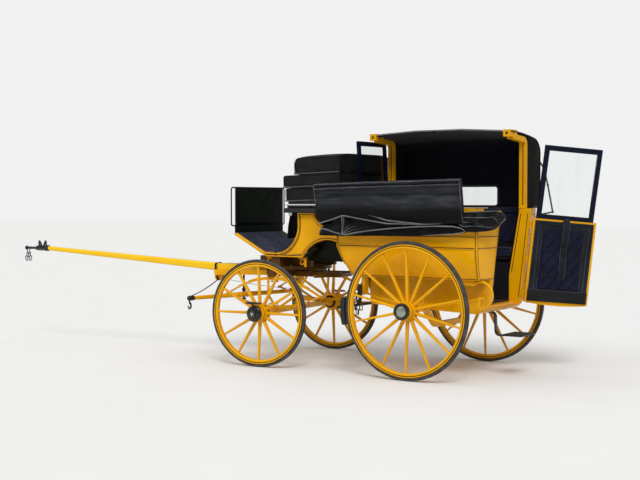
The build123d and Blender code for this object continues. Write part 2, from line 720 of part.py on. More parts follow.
with BuildPart() as foot_well:
    with BuildSketch(Plane.XZ):
        with BuildLine():
            FilletPolyline((WELL_FRONT_X, BODY_BOTTOM_Z), (WELL_FRONT_X, WELL_FRONT_Z),
                           (rear_x(WELL_REAR_Z), WELL_REAR_Z), (REAR_FOOT_X, BODY_BOTTOM_Z),
                           radius=(30, WELL_RADIUS))
            Line((REAR_FOOT_X, BODY_BOTTOM_Z), (WELL_FRONT_X, BODY_BOTTOM_Z))
        make_face()
    extrude(amount=WELL_HALF, both=True)
    well_rear = REAR_FOOT_X + JAMB_DEPTH + 30
    well_room = WELL_HALF - WALL
    well_top = BODY_BOTTOM_Z + 10
    behind = REAR_FOOT_X - 60
    block((well_rear, -well_room, SILL_Z), (WELL_FRONT_X - WALL, well_room, well_top), mode=Mode.SUBTRACT)
    block((behind, -DOORWAY_HALF, SILL_Z + 4), (0, DOORWAY_HALF, well_top), mode=Mode.SUBTRACT)
    # The door's bowed foot drops into a rebate in the sill.
    rebate_z = DOOR_FOOT_Z - DOOR_BOW - DOOR_REBATE
    rebate_x = rear_x(rebate_z) + DOOR_THICK + DOOR_REBATE
    block((behind, -DOORWAY_HALF, rebate_z), (rebate_x, DOORWAY_HALF, SILL_Z + 5), mode=Mode.SUBTRACT)
keep(foot_well, "foot_well")

bench_rear = well_rear + 5
bench_front = front_outline(WALL)[0][0] - 12
with BuildPart() as benches:
    for side in (1, -1):
        for low_y, high_y, low_z, high_z in (
            (WELL_HALF - WALL, BODY_HALF, BODY_BOTTOM_Z, BODY_BOTTOM_Z + FLOOR),
            (WELL_HALF, WELL_HALF + WALL, BODY_BOTTOM_Z + FLOOR, BENCH_Z),
            (WELL_HALF - BENCH_LIP, BODY_HALF, BENCH_Z, BENCH_Z + BENCH_THICK),
        ):
            ys = sorted((side * low_y, side * high_y))
            block((bench_rear, ys[0], low_z), (bench_front, ys[1], high_z))
    inside_body()
keep(benches, "benches")

bench_top = BENCH_Z + BENCH_THICK
with BuildPart() as bench_cushions:
    for side in (1, -1):
        low_y, high_y = sorted((side * (WELL_HALF - 50), side * (BODY_HALF - WALL - SQUAB - 4)))
        block((bench_rear, low_y, bench_top), (bench_front, high_y, bench_top + CUSHION))
    fillet(bench_cushions.edges().filter_by(Axis.X), 20)
keep(bench_cushions, "bench_cushions")

with BuildPart() as bench_squabs:
    for side in (1, -1):
        low_y, high_y = sorted((side * (BODY_HALF - WALL - SQUAB), side * (BODY_HALF - WALL)))
        block((bench_rear, low_y, TURN_UNDER_Z), (bench_front, high_y, BELT_Z))
keep(bench_squabs, "bench_squabs")


# Boot and box seat
with BuildPart() as boot_sides:
    with BuildSketch(Plane.XZ):
        with BuildLine():
            Line((HEEL_TOP_X, BOOT_TOP_Z), HEEL_CURVE[0])
            heel = ThreePointArc(*HEEL_CURVE)
            toe = Polyline(heel @ 1, (TOE_FLOOR_X, TOE_FLOOR_Z), (TOE_X, TOE_Z), (TOE_X, TOE_Z - TOE_EDGE),
                           (TOE_FOOT_X, BOOT_BOTTOM_Z), ARCH_CURVE[0])
            arch = ThreePointArc(toe @ 1, *ARCH_CURVE[1:])
            waist = Polyline(arch @ 1, (BODY_FRONT_X, WAIST_CURVE[0][1]), WAIST_CURVE[0])
            top = ThreePointArc(waist @ 1, *WAIST_CURVE[1:])
            Line(top @ 1, (HEEL_TOP_X, BOOT_TOP_Z))
        make_face()
    extrude(amount=BOOT_HALF, both=True)
    block((0, -BOOT_HALF + BOOT_WALL, 0), (FAR, BOOT_HALF - BOOT_WALL, FAR), mode=Mode.SUBTRACT)
keep(boot_sides, "boot_sides")

# The foot board lies inside the boot's sides, just below their curved edge.
board_drop = BOARD_THICK / 2 + 4
heel_start, heel_middle, heel_foot = HEEL_CURVE
with BuildPart() as toe_board:
    with BuildSketch(Plane.XZ):
        with BuildLine():
            heel_line = Line((HEEL_TOP_X - board_drop, BOOT_TOP_Z),
                             (heel_start[0] - board_drop, heel_start[1]))
            heel = ThreePointArc(heel_line @ 1, (heel_middle[0] - 7, heel_middle[1] - 8),
                                 (heel_foot[0], heel_foot[1] - board_drop))
            Polyline(heel @ 1, (TOE_FLOOR_X, TOE_FLOOR_Z - board_drop), (TOE_X, TOE_Z - board_drop))
        trace(line_width=BOARD_THICK)
    extrude(amount=BOOT_HALF - BOOT_WALL, both=True)
    block((0, -BOOT_HALF, BOOT_TOP_Z), (FAR, BOOT_HALF, FAR), mode=Mode.SUBTRACT)
    block((TOE_X, -BOOT_HALF, 0), (FAR, BOOT_HALF, FAR), mode=Mode.SUBTRACT)
keep(toe_board, "toe_board")

with BuildPart() as seat_fall:
    with BuildSketch(Plane.XZ):
        with BuildLine():
            ThreePointArc(*FALL_CURVE)
        trace(line_width=FALL_THICK)
    extrude(amount=BOOT_HALF - BOOT_WALL - 6, both=True)
    block((0, -BOOT_HALF, BOOT_TOP_Z), (FAR, BOOT_HALF, FAR), mode=Mode.SUBTRACT)
keep(seat_fall, "seat_fall")

with BuildPart() as boot_box:
    with BuildSketch(Plane.XZ):
        with BuildLine():
            arch_foot, arch_middle, arch_end = ARCH_CURVE
            box_front = (arch_foot[0] - 5, arch_foot[1] + 4)
            box = Polyline((BODY_FRONT_X, BOX_LOW_Z), (box_front[0], BOX_LOW_Z), box_front)
            vault = ThreePointArc(box @ 1, (arch_middle[0], arch_middle[1] - 2),
                                  (arch_end[0], arch_end[1] - 2))
            Line(vault @ 1, box @ 0)
        make_face()
    extrude(amount=BOX_HALF, both=True)
keep(boot_box, "boot_box")

with BuildPart() as seat_board:
    block((SEAT_REAR_X, -SEAT_HALF, BOOT_TOP_Z), (SEAT_FRONT_X, SEAT_HALF, SEAT_TOP_Z))
    rail_z = SEAT_TOP_Z + SEAT_RAIL_RISE
    for side in (1, -1):
        y = side * (SEAT_HALF - 8)
        rod((SEAT_REAR_X, y, rail_z), (SEAT_FRONT_X, y, rail_z), SEAT_RAIL_RADIUS)
        for x in (SEAT_REAR_X + 30, (SEAT_REAR_X + SEAT_FRONT_X) / 2, SEAT_FRONT_X - 30):
            rod((x, y, SEAT_TOP_Z - 2), (x, y, rail_z), SEAT_RAIL_RADIUS)
keep(seat_board, "seat_board")

with BuildPart() as seat_pads:
    for low_z, high_z, front, radius in PAD_ROWS:
        with BuildSketch(Plane.XZ):
            with Locations(((PAD_REAR_X + front) / 2, (low_z + high_z) / 2)):
                pad = Rectangle(front - PAD_REAR_X, high_z - low_z)
            fillet(pad.vertices().group_by(Axis.X)[-1].sort_by(Axis.Y)[-1:], radius)
        extrude(amount=SEAT_HALF, both=True)
    frame_front = PAD_ROWS[0][2] - 20
    block((SEAT_REAR_X - 10, -SEAT_HALF + 30, SEAT_TOP_Z), (frame_front, SEAT_HALF - 30, PAD_ROWS[0][0]))
keep(seat_pads, "seat_pads")

with BuildPart() as dash:
    block((TOE_X, -DASH_HALF, TOE_Z - TOE_EDGE), (TOE_X + DASH_THICK, DASH_HALF, DASH_TOP_Z))
keep(dash, "dash")

with BuildPart() as dash_frame:
    with BuildSketch(Plane.YZ.offset(TOE_X + DASH_THICK + DASH_RAIL)):
        # A loop of bar round the upper panel stands out beyond its ends.
        loop_width = 2 * (DASH_HALF + DASH_LOOP)
        loop_height = DASH_TOP_Z - DASH_SPLIT_Z + 2 * DASH_RAIL
        with Locations((0, (DASH_TOP_Z + DASH_SPLIT_Z) / 2)):
            RectangleRounded(loop_width, loop_height, 24)
            RectangleRounded(loop_width - 4 * DASH_RAIL, loop_height - 4 * DASH_RAIL, 24 - 2 * DASH_RAIL,
                             mode=Mode.SUBTRACT)
        for side in (1, -1):
            with Locations((side * (DASH_HALF - DASH_RAIL), (DASH_SPLIT_Z + TOE_Z) / 2)):
                Rectangle(2 * DASH_RAIL, DASH_SPLIT_Z - TOE_Z)
    extrude(amount=DASH_RAIL, both=True)
keep(dash_frame, "dash_frame")


# Irons under the body
with BuildPart() as scroll_irons:
    for side in (1, -1):
        y = side * SPRING_Y
        with BuildSketch(Plane.XZ.offset(-y)):
            with BuildLine():
                ThreePointArc((SCROLL_ROOT_X, BODY_BOTTOM_Z - 36), (SCROLL_BACK_X, SCROLL_BACK_Z),
                              (SCROLL_KNOB_X, SCROLL_KNOB_Z))
            trace(line_width=SCROLL_BAR)
        extrude(amount=SCROLL_BAR / 2, both=True)
        with BuildSketch(Plane.XZ.offset(-y)):
            with Locations((SCROLL_KNOB_X, SCROLL_KNOB_Z)):
                Circle(19)
            with Locations((SCROLL_ROOT_X + 50, BODY_BOTTOM_Z - 24)):
                Rectangle(140, 48)
        extrude(amount=SPRING_WIDTH / 2, both=True)
keep(scroll_irons, "scroll_irons")

with BuildPart() as spring_hangers:
    # At the rear a pair of links joins each scroll to the spring's eye; at the front a bracket does.
    for side in (1, -1):
        for face in (SPRING_WIDTH / 2, -SPRING_WIDTH / 2 - LINK_THICK):
            y = side * SPRING_Y + face
            with BuildSketch(Plane.XZ.offset(-y)):
                with BuildLine():
                    Line((SCROLL_KNOB_X, SCROLL_KNOB_Z), (-REAR_SPRING_HALF, REAR_SPRING_EYE_Z))
                trace(line_width=24)
                with Locations((SCROLL_KNOB_X, SCROLL_KNOB_Z), (-REAR_SPRING_HALF, REAR_SPRING_EYE_Z)):
                    Circle(15)
            extrude(amount=-LINK_THICK)
            with BuildSketch(Plane.XZ.offset(-y)):
                with Locations((REAR_SPRING_HALF, REAR_SPRING_EYE_Z)):
                    Circle(18)
                with Locations((REAR_SPRING_HALF, (REAR_SPRING_EYE_Z + BODY_BOTTOM_Z) / 2)):
                    Rectangle(30, BODY_BOTTOM_Z - REAR_SPRING_EYE_Z)
            extrude(amount=-LINK_THICK)
        y = side * SPRING_Y
        block((REAR_SPRING_HALF - 30, y - SPRING_WIDTH / 2 - LINK_THICK, BODY_BOTTOM_Z - 16),
              (REAR_SPRING_HALF + 30, y + SPRING_WIDTH / 2 + LINK_THICK, BODY_BOTTOM_Z))
keep(spring_hangers, "spring_hangers")

well_slope = (WELL_FRONT_Z - WELL_REAR_Z) / (WELL_FRONT_X - rear_x(WELL_REAR_Z))
step_root_z = WELL_REAR_Z + (STEP_ROOT_X + 45 - rear_x(WELL_REAR_Z)) * well_slope - 10
with BuildPart() as rear_step:
    with BuildSketch(Plane.XZ):
        with BuildLine():
            FilletPolyline((STEP_ROOT_X + 90, step_root_z), (STEP_ROOT_X, step_root_z),
                           (STEP_ROOT_X - 8, STEP_Z - 14), (STEP_END_X, STEP_Z), radius=40)
        trace(line_width=14)
    extrude(amount=18, both=True)
    block((STEP_END_X, -STEP_HALF, STEP_Z), (STEP_END_X + STEP_TREAD, STEP_HALF, STEP_Z + 10))
keep(rear_step, "rear_step")


# Half-head raised on the right: a leather hood over a lining and two bows
def head_shape(inset):
    """The raised half-head as a full block, set in from its outer face."""
    open_y = 50
    low_z = rail_top - 60
    side_y = inset - HEAD_HALF
    roof = ROOF_Z + ROOF_CROWN - inset
    with BuildPart() as shape:
        with BuildSketch(Plane.YZ.offset(HEAD_REAR_X)) as section:
            with BuildLine() as outline:
                crown = ThreePointArc((0, roof), (-260, roof - 12), (-500, roof - 44))
                corner = TangentArc(crown @ 1, (side_y, HEAD_SIDE_Z), tangent=crown % 1)
                Polyline(corner @ 1, (side_y, low_z), (open_y, low_z), (open_y, roof), (0, roof))
            make_face(outline.edges())
        extrude(section.sketch, amount=HEAD_FRONT_X - HEAD_REAR_X)
        with BuildSketch(Plane.XZ) as profile:
            with BuildLine() as sides:
                middle = (HEAD_REAR_X + HEAD_FRONT_X) / 2
                top = ThreePointArc((HEAD_REAR_X, ROOF_Z), (middle, ROOF_Z + ROOF_CROWN),
                                    (HEAD_FRONT_X, ROOF_Z))
                Polyline(top @ 1, (HEAD_FRONT_X, low_z), (HEAD_REAR_X, low_z), top @ 0)
            make_face(sides.edges())
            if inset:
                offset(amount=-inset, kind=Kind.INTERSECTION)
        extrude(profile.sketch, amount=2 * HEAD_HALF, both=True, mode=Mode.INTERSECT)
    return shape.part


def head_skin(outer, inner):
    """One layer of the hood between two insets, with its window and its open ends cut."""
    outside = head_shape(outer)
    inside = head_shape(inner)
    add(outside)
    add(inside, mode=Mode.SUBTRACT)
    end_top = ROOF_Z - LEATHER - LINING - 1
    block((2 * HEAD_REAR_X, -HEAD_HALF, 0), (2 * HEAD_FRONT_X, HEAD_HALF, rail_top), mode=Mode.SUBTRACT)
    block((2 * HEAD_REAR_X, 0, 0), (2 * HEAD_FRONT_X, HEAD_HALF, 2 * ROOF_Z), mode=Mode.SUBTRACT)
    block((2 * HEAD_REAR_X, -BOW_Y - BOW_WIDTH / 2, 0), (2 * HEAD_FRONT_X, 0, end_top), mode=Mode.SUBTRACT)
    for x in bow_rows:
        with Locations((x, BOW_PLATE_Y, BOW_PLATE_Z)):
            Box(BOW_PLATE[0], BOW_PLATE[1], 2 * BOW_PLATE[2], mode=Mode.SUBTRACT)
    with BuildSketch(Plane.XZ.offset(HEAD_HALF - 30)) as window:
        with Locations(((WINDOW_REAR_X + WINDOW_FRONT_X) / 2, (WINDOW_LOW_Z + WINDOW_HIGH_Z) / 2)):
            RectangleRounded(WINDOW_FRONT_X - WINDOW_REAR_X, WINDOW_HIGH_Z - WINDOW_LOW_Z, WINDOW_ROUND)
    extrude(window.sketch, amount=60, mode=Mode.SUBTRACT)


bow_rows = (HEAD_REAR_X + BOW_DEPTH / 2 + 4, HEAD_FRONT_X - BOW_DEPTH / 2 - 2)
with BuildPart() as hood_right:
    head_skin(0, LEATHER)
keep(hood_right, "hood_right")

with BuildPart() as hood_lining:
    head_skin(LEATHER, LEATHER + LINING)
keep(hood_lining, "hood_lining")

bow_top = ROOF_Z - LEATHER - LINING - BOW_WIDTH / 2 - 3
with BuildPart() as head_bows:
    for x in bow_rows:
        with BuildSketch(Plane.YZ.offset(x)):
            with BuildLine():
                FilletPolyline((BOW_PLATE_Y, bow_top), (-BOW_Y, bow_top - 22), (-BOW_Y, rail_top), radius=50)
            trace(line_width=BOW_WIDTH)
        extrude(amount=BOW_DEPTH / 2, both=True)
        with Locations((x, BOW_PLATE_Y, BOW_PLATE_Z)):
            Box(*BOW_PLATE)
            Box(2 * BOW_PLATE[0], 24, 20, mode=Mode.SUBTRACT)
    block((-FAR, -HEAD_HALF, 0), (FAR, HEAD_HALF, rail_top), mode=Mode.SUBTRACT)
keep(head_bows, "head_bows")

# The front window stands by itself on the front rail and leans forward a little.
sash_width = SASH_Y[1] - SASH_Y[0]
sash_height = SASH_TOP_Z - rail_top
sash_plane = Plane(origin=(BODY_FRONT_X - 24, sum(SASH_Y) / 2, rail_top), x_dir=(0, 1, 0),
                   z_dir=(cos(radians(SASH_LEAN)), 0, -sin(radians(SASH_LEAN))))
with BuildPart() as front_sash:
    with BuildSketch(sash_plane):
        with Locations((0, sash_height / 2)):
            Rectangle(sash_width, sash_height)
            Rectangle(sash_width - 2 * SASH_BAR, sash_height - 2 * SASH_BAR, mode=Mode.SUBTRACT)
    extrude(amount=SASH_THICK)
    block((0, -HEAD_HALF, 0), (FAR, HEAD_HALF, rail_top), mode=Mode.SUBTRACT)
keep(front_sash, "front_sash")

with BuildPart() as head_glass:
    with BuildSketch(sash_plane.offset(SASH_THICK / 2 - GLASS / 2)):
        with Locations((0, sash_height / 2)):
            Rectangle(sash_width - 2 * SASH_BAR, sash_height - 2 * SASH_BAR)
    extrude(amount=GLASS)
    with BuildSketch(Plane.XZ.offset(HEAD_HALF - LEATHER + 1)):
        with Locations(((WINDOW_REAR_X + WINDOW_FRONT_X) / 2, (WINDOW_LOW_Z + WINDOW_HIGH_Z) / 2)):
            RectangleRounded(WINDOW_FRONT_X - WINDOW_REAR_X, WINDOW_HIGH_Z - WINDOW_LOW_Z, WINDOW_ROUND)
    extrude(amount=GLASS)
keep(head_glass, "head_glass")

# The jointed stay that holds the raised half-head stands behind its rear corner.
stay_y = -HEAD_HALF - 34
stay_rows = ((-548, stay_y + 22, HEAD_SIDE_Z - 5), (-640, stay_y, HEAD_SIDE_Z - 150),
             (-676, stay_y, HEAD_SIDE_Z - 300), (-726, stay_y, BELT_Z), (-590, -BODY_HALF - 12, BELT_Z - 30))
with BuildPart() as head_stay:
    for start, end in zip(stay_rows, stay_rows[1:]):
        rod(start, end, STAY_RADIUS)
    for joint in stay_rows[:4]:
        with Locations(joint):
            Sphere(STAY_RADIUS + 4)
    rod((stay_rows[0][0], -HEAD_HALF, stay_rows[0][2]), stay_rows[0], STAY_RADIUS + 4)
    add(belt_rails.part, mode=Mode.SUBTRACT)
    add(body_sides.part, mode=Mode.SUBTRACT)
    add(body_mouldings.part, mode=Mode.SUBTRACT)
    add(hood_right.part, mode=Mode.SUBTRACT)
keep(head_stay, "head_stay")

# Half-head folded down on the left: the side panel stands up, the rest lies folded below it.
with BuildPart() as fold_panel:
    with BuildSketch(Plane.XZ.offset(-FOLD_OUTER_Y)):
        with BuildLine():
            Polyline(*FOLD_HIGH, *FOLD_LOW, close=True)
        make_face()
    extrude(amount=FOLD_OUTER_Y - FOLD_INNER_Y)
    fillet(fold_panel.edges().filter_by(Axis.Y, reverse=True).group_by(Axis.Z)[-1], 14)
keep(fold_panel, "fold_panel")

with BuildPart() as fold_bundle:
    with BuildSketch(Plane.XZ.offset(-FOLD_OUTER_Y - 16)):
        with BuildLine():
            upper_edge = [(x, z - 1) for x, z in FOLD_LOW]
            Polyline(*upper_edge, *FLAP_LOW, upper_edge[0], close=True)
        make_face()
    extrude(amount=FOLD_OUTER_Y + 16 - BODY_HALF - 11)
    block((FOLD_REAR_X, BODY_HALF - 60, rail_top), (FOLD_FRONT_X, FOLD_INNER_Y - 1, rail_top + FOLD_ROLL))
    # The rear curtain lies crumpled over the corner and along the rear rail.
    with BuildSketch(Plane.XY.offset(FOLD_REAR_Z)):
        with BuildLine():
            Polyline((-490, BODY_HALF + 100), (-640, BODY_HALF + 90), (-735, BODY_HALF - 80), (-728, 345),
                     (-676, 338), (-676, BODY_HALF - 120), (-604, BODY_HALF + 22), (-490, BODY_HALF + 22),
                     close=True)
        make_face()
    extrude(amount=rail_top - CURTAIN_DROP - FOLD_REAR_Z)
    block((FOLD_REAR_X - 12, BODY_HALF + 22, BELT_Z - 40),
          (FOLD_REAR_X + 20, FOLD_INNER_Y - 1, rail_top + 20))
keep(fold_bundle, "fold_bundle")


# Door. It is made closed, from its hinge line: X across, Y outwards, Z up the line.
lean = radians(REAR_LEAN)
hinge_foot = (rear_x(DOOR_FOOT_Z) - DOOR_STAND, HINGE_Y, DOOR_FOOT_Z)
hinge_up = Vector(-sin(lean), 0, cos(lean))
swing = radians(DOOR_OPEN)
door_across = Vector(-sin(swing) * cos(lean), cos(swing), -sin(swing) * sin(lean))
door_place = Plane(origin=hinge_foot, x_dir=door_across, z_dir=hinge_up).location
door_inside_y = -DOOR_STAND - DOOR_THICK

with BuildPart() as door_panel:
    with BuildSketch(Plane.XZ.offset(DOOR_STAND)):
        with BuildLine():
            Polyline((DOOR_SIDE_GAP, 0), (DOOR_SIDE_GAP, DOOR_HEIGHT), (DOOR_WIDTH, DOOR_HEIGHT),
                     (DOOR_WIDTH, 0))
            ThreePointArc((DOOR_WIDTH, 0), (DOOR_WIDTH / 2, -DOOR_BOW), (DOOR_SIDE_GAP, 0))
        make_face()
    extrude(amount=DOOR_THICK)
    for height in HINGE_HEIGHTS:
        rod((0, 0, height + 1), (0, 0, height + HINGE_LEAF), HINGE_RADIUS)
        block((0, -DOOR_STAND, height + 1), (HINGE_PLATE, -DOOR_STAND + 7, height + HINGE_LEAF))
        rod((0, 0, height - 5), (0, 0, height + 45), HINGE_PIN + RUNNING_CLEARANCE, mode=Mode.SUBTRACT)
keep(door_panel, "door_panel", door_place)

with BuildPart() as door_trim:
    block((DOOR_SIDE_GAP + 22, door_inside_y - 16, 20), (DOOR_WIDTH - 22, door_inside_y, DOOR_HEIGHT - 16))
keep(door_trim, "door_trim", door_place)

sash_bend = radians(SASH_BEND)
door_middle = (DOOR_WIDTH + DOOR_SIDE_GAP) / 2
door_sash_plane = Plane(origin=(door_middle, -DOOR_STAND - 4, DOOR_HEIGHT), x_dir=(1, 0, 0),
                        z_dir=(0, -cos(sash_bend), -sin(sash_bend)))
door_sash_width = DOOR_WIDTH - 70
with BuildPart() as door_sash:
    with BuildSketch(door_sash_plane):
        with Locations((0, SASH_HEIGHT / 2)):
            Rectangle(door_sash_width, SASH_HEIGHT + 10)
            Rectangle(door_sash_width - 2 * SASH_BAR, SASH_HEIGHT - 2 * SASH_BAR, mode=Mode.SUBTRACT)
    extrude(amount=SASH_THICK)
    block((0, -100, DOOR_HEIGHT - 50), (DOOR_WIDTH, 100, DOOR_HEIGHT), mode=Mode.SUBTRACT)
keep(door_sash, "door_sash", door_place)

with BuildPart() as door_glass:
    with BuildSketch(door_sash_plane.offset(SASH_THICK / 2 - GLASS / 2)):
        with Locations((0, SASH_HEIGHT / 2)):
            Rectangle(door_sash_width - 2 * SASH_BAR, SASH_HEIGHT - 2 * SASH_BAR)
    extrude(amount=GLASS)
keep(door_glass, "door_glass", door_place)

lug_place = Plane(origin=hinge_foot, x_dir=(0, 1, 0), z_dir=hinge_up).location
with BuildPart() as hinge_lugs:
    for height in HINGE_HEIGHTS:
        rod((0, 0, height - HINGE_LEAF), (0, 0, height), HINGE_RADIUS)
        rod((0, 0, height - HINGE_LEAF), (0, 0, height + HINGE_LEAF), HINGE_PIN)
        block((-HINGE_PLATE, -DOOR_STAND - 8, height - HINGE_LEAF), (0, -DOOR_STAND + 7, height))
with BuildPart() as seated_lugs:
    add(lug_place * hinge_lugs.part)
    add(rear_quarters.part, mode=Mode.SUBTRACT)
    add(foot_well.part, mode=Mode.SUBTRACT)
keep(seated_lugs, "hinge_lugs")

# Brake: a cross rod hung under the body carries a block ahead of each rear wheel.
block_z = REAR_DIAMETER / 2
with BuildPart() as brake:
    rod((BRAKE_X, -TRACK / 2 - 24, BRAKE_Z), (BRAKE_X, TRACK / 2 + 24, BRAKE_Z), BRAKE_ROD)
    for side in (1, -1):
        y = side * (BODY_BOTTOM_HALF - 110)
        rod((BRAKE_X, y, BRAKE_Z), (BRAKE_X - 38, y, BODY_BOTTOM_Z), BRAKE_ROD - 2)
        block((BRAKE_X - 60, y - 20, BODY_BOTTOM_Z - 10), (BRAKE_X - 12, y + 20, BODY_BOTTOM_Z))
        y = side * TRACK / 2
        with BuildSketch(Plane.XZ.offset(-y)) as shoe:
            with Locations((0, block_z)):
                Circle(block_z + BRAKE_GAP + 42)
                Circle(block_z + BRAKE_GAP, mode=Mode.SUBTRACT)
            with Locations((block_z + 200, block_z - 30)):
                Rectangle(400, 240, mode=Mode.INTERSECT)
        extrude(shoe.sketch, amount=28, both=True)
    block((-FAR, -FAR, BODY_BOTTOM_Z), (FAR, FAR, FAR), mode=Mode.SUBTRACT)
keep(brake, "brake")

# Place everything about the middle of the whole length and write it.
boxes = [piece.bounding_box() for piece in pieces]
front_end = max(box.max.X for box in boxes)
rear_end = min(box.min.X for box in boxes)
middle_x = (front_end + rear_end) / 2
print("middle of the length at x =", round(middle_x, 4), "length", round(front_end - rear_end, 2))
os.makedirs("parts", exist_ok=True)
for piece in pieces:
    moved = piece.moved(Location((-middle_x, 0, 0)))
    moved.label = piece.label
    export_step(moved, os.path.join("parts", piece.label + ".step"))
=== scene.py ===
"""Dress the four-wheeled wagonette: paint, lining, leather, cloth, hub caps, straps and chains.

Lengths are in metres. The helper at() takes x from the rear axle, y to the left and z up,
fore() takes the same from the king pin, square to the front axle, and door_at() takes
a place on the closed door, from the foot of its hinge line.
"""
from math import atan2, cos, exp, pi, radians, sin, sqrt, tan

import bmesh
import bpy
from bpy.props import FloatProperty, FloatVectorProperty, IntProperty, PointerProperty
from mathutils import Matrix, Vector, noise


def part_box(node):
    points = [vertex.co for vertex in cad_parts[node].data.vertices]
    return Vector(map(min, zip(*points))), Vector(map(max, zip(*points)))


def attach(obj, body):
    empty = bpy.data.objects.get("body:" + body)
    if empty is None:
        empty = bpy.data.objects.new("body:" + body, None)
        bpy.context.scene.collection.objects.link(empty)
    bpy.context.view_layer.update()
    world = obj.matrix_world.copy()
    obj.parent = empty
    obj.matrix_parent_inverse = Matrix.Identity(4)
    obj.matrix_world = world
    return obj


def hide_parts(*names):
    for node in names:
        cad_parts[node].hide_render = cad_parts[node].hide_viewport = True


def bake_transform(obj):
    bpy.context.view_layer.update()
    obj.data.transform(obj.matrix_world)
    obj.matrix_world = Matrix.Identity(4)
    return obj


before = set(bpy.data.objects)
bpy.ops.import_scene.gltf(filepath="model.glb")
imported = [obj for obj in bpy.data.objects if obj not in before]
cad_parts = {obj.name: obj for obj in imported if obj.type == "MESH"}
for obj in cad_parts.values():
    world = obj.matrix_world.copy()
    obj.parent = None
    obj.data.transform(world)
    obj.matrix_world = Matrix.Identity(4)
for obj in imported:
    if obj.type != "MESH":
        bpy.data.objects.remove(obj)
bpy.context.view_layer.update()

bl_info = {
    "name": "Wagonette dressing",
    "version": (1, 0, 0),
    "blender": (4, 5, 0),
    "location": "View3D > Sidebar > Wagonette",
    "description": "Paint, leather, cloth and fittings for a wagonette with half-heads",
    "category": "Object",
}

axle_low, axle_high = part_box("rear_axle")
AXLE_X = (axle_low.x + axle_high.x) / 2

WHEEL_BASE = 1.654
TRACK = 1.55
STEER = radians(6)
REAR_LEAN = tan(radians(6.5))
BODY_HALF = 0.600
BODY_FOOT_HALF = 0.548
BODY_FOOT = 0.870
WAIST = 1.142
BELT = 1.440
RAIL_TOP = 1.475
BODY_FRONT = 0.820
BODY_CORNER = -0.580
DOORWAY_HALF = 0.308
BOOT_HALF = 0.400
HEEL_TOP = 1.384
HEEL = ((1.380, 1.300), (1.442, 1.139), (1.590, 1.045))
QUILT_MAIN, QUILT_CROSS = 0.086, 0.150
SQUAB_ACROSS, SQUAB_UP, SQUAB_NEAR, SQUAB_FOOT = 0.0607, 0.0955, 0.366, 1.050
FOLD_X = 0.687
BOWS = (-0.578, 0.791)
BOW_FOOT = 1.4755
SPRING_Y = 0.500
NAVE_FRONT, NAVE_BACK, NAVE_RADIUS = 0.0555, -0.086, 0.09
PANEL_LINES = (1.142, 1.238, 0.8775)
SIDES = (1, -1)
AHEAD = Vector((cos(STEER), sin(STEER), 0))
ACROSS = Vector((-sin(STEER), cos(STEER), 0))


def at(x, y, z):
    """A place measured from the ground under the rear axle."""
    return Vector((x + AXLE_X, y, z))


def fore(x, y, z):
    """A place on the front carriage, measured from its king pin."""
    return at(WHEEL_BASE + x * cos(STEER) - y * sin(STEER), x * sin(STEER) + y * cos(STEER), z)


def rear_face(z):
    """Where the body's leaning rear face stands at a height."""
    return -0.600 - (z - BODY_FOOT) * REAR_LEAN


def spread(first, last, count):
    """Numbers in even steps from first to last, both included."""
    return [first + (last - first) * k / count for k in range(count + 1)]


def ripple(*place):
    """Smooth noise at a place, from -1 to 1."""
    return noise.noise(Vector(place))


def bell(value, width):
    """1 at zero, falling away on both sides over a width."""
    return exp(-(value / width) ** 2)


def clip(value):
    """A value held between 0 and 1."""
    return max(0.0, min(1.0, value))


WHEELS = (
    # name, radius, middle, the axle's way out, spokes
    ("rear_left", 0.600, at(0, TRACK / 2, 0.6), Vector((0, 1, 0)), 14),
    ("rear_right", 0.600, at(0, -TRACK / 2, 0.6), Vector((0, -1, 0)), 14),
    ("front_left", 0.500, fore(0, TRACK / 2, 0.5), ACROSS, 12),
    ("front_right", 0.500, fore(0, -TRACK / 2, 0.5), -ACROSS, 12),
)


door_foot = at(rear_face(0.640) - 0.010, -0.306, 0.640)
hinge_up = Vector((-sin(radians(6.5)), 0, cos(radians(6.5))))
DOOR_SWING = radians(132)
door_across = Vector((-sin(DOOR_SWING) * hinge_up.z, cos(DOOR_SWING), sin(DOOR_SWING) * hinge_up.x))
door_out = hinge_up.cross(door_across)


def door_at(x, y, z):
    """A place on the door: x from its hinge, y outwards, z up."""
    return door_foot + door_across * x + door_out * y + hinge_up * z


BAR_X, BAR_Z, BAR_TURN = 0.630, 0.600, radians(-17)


def bar_at(x, y, z):
    """A place on the swing bar, from its bolt."""
    return fore(BAR_X + x * cos(BAR_TURN) - y * sin(BAR_TURN), x * sin(BAR_TURN) + y * cos(BAR_TURN), BAR_Z + z)


BAR_WAY = bar_at(0, 1, 0) - bar_at(0, 0, 0)


# Sizes and colours that a user would change
def colour(name, description, value):
    """A colour property with its usual limits."""
    return FloatVectorProperty(name=name, description=description, subtype="COLOR", size=3,
                               min=0, max=1, default=value)


class CoachPaint(bpy.types.PropertyGroup):
    """Colours of the carriage's paint, leather and cloth."""
    yellow: colour("Coach yellow", "Paint of the body, wheels and pole", (0.84, 0.42, 0.003))
    shade: colour("Deep yellow", "Older, deeper yellow in the paint", (0.72, 0.32, 0.002))
    lining: colour("Lining", "Fine painted lines on the yellow", (0.026, 0.010, 0.003))
    leather: colour("Leather", "Head, pads and dash", (0.0042, 0.0042, 0.0052))
    navy: colour("Navy cloth", "Lining, trim and cushions", (0.0055, 0.0060, 0.023))
    mat: colour("Foot board", "Covering of the foot board", (0.020, 0.023, 0.036))


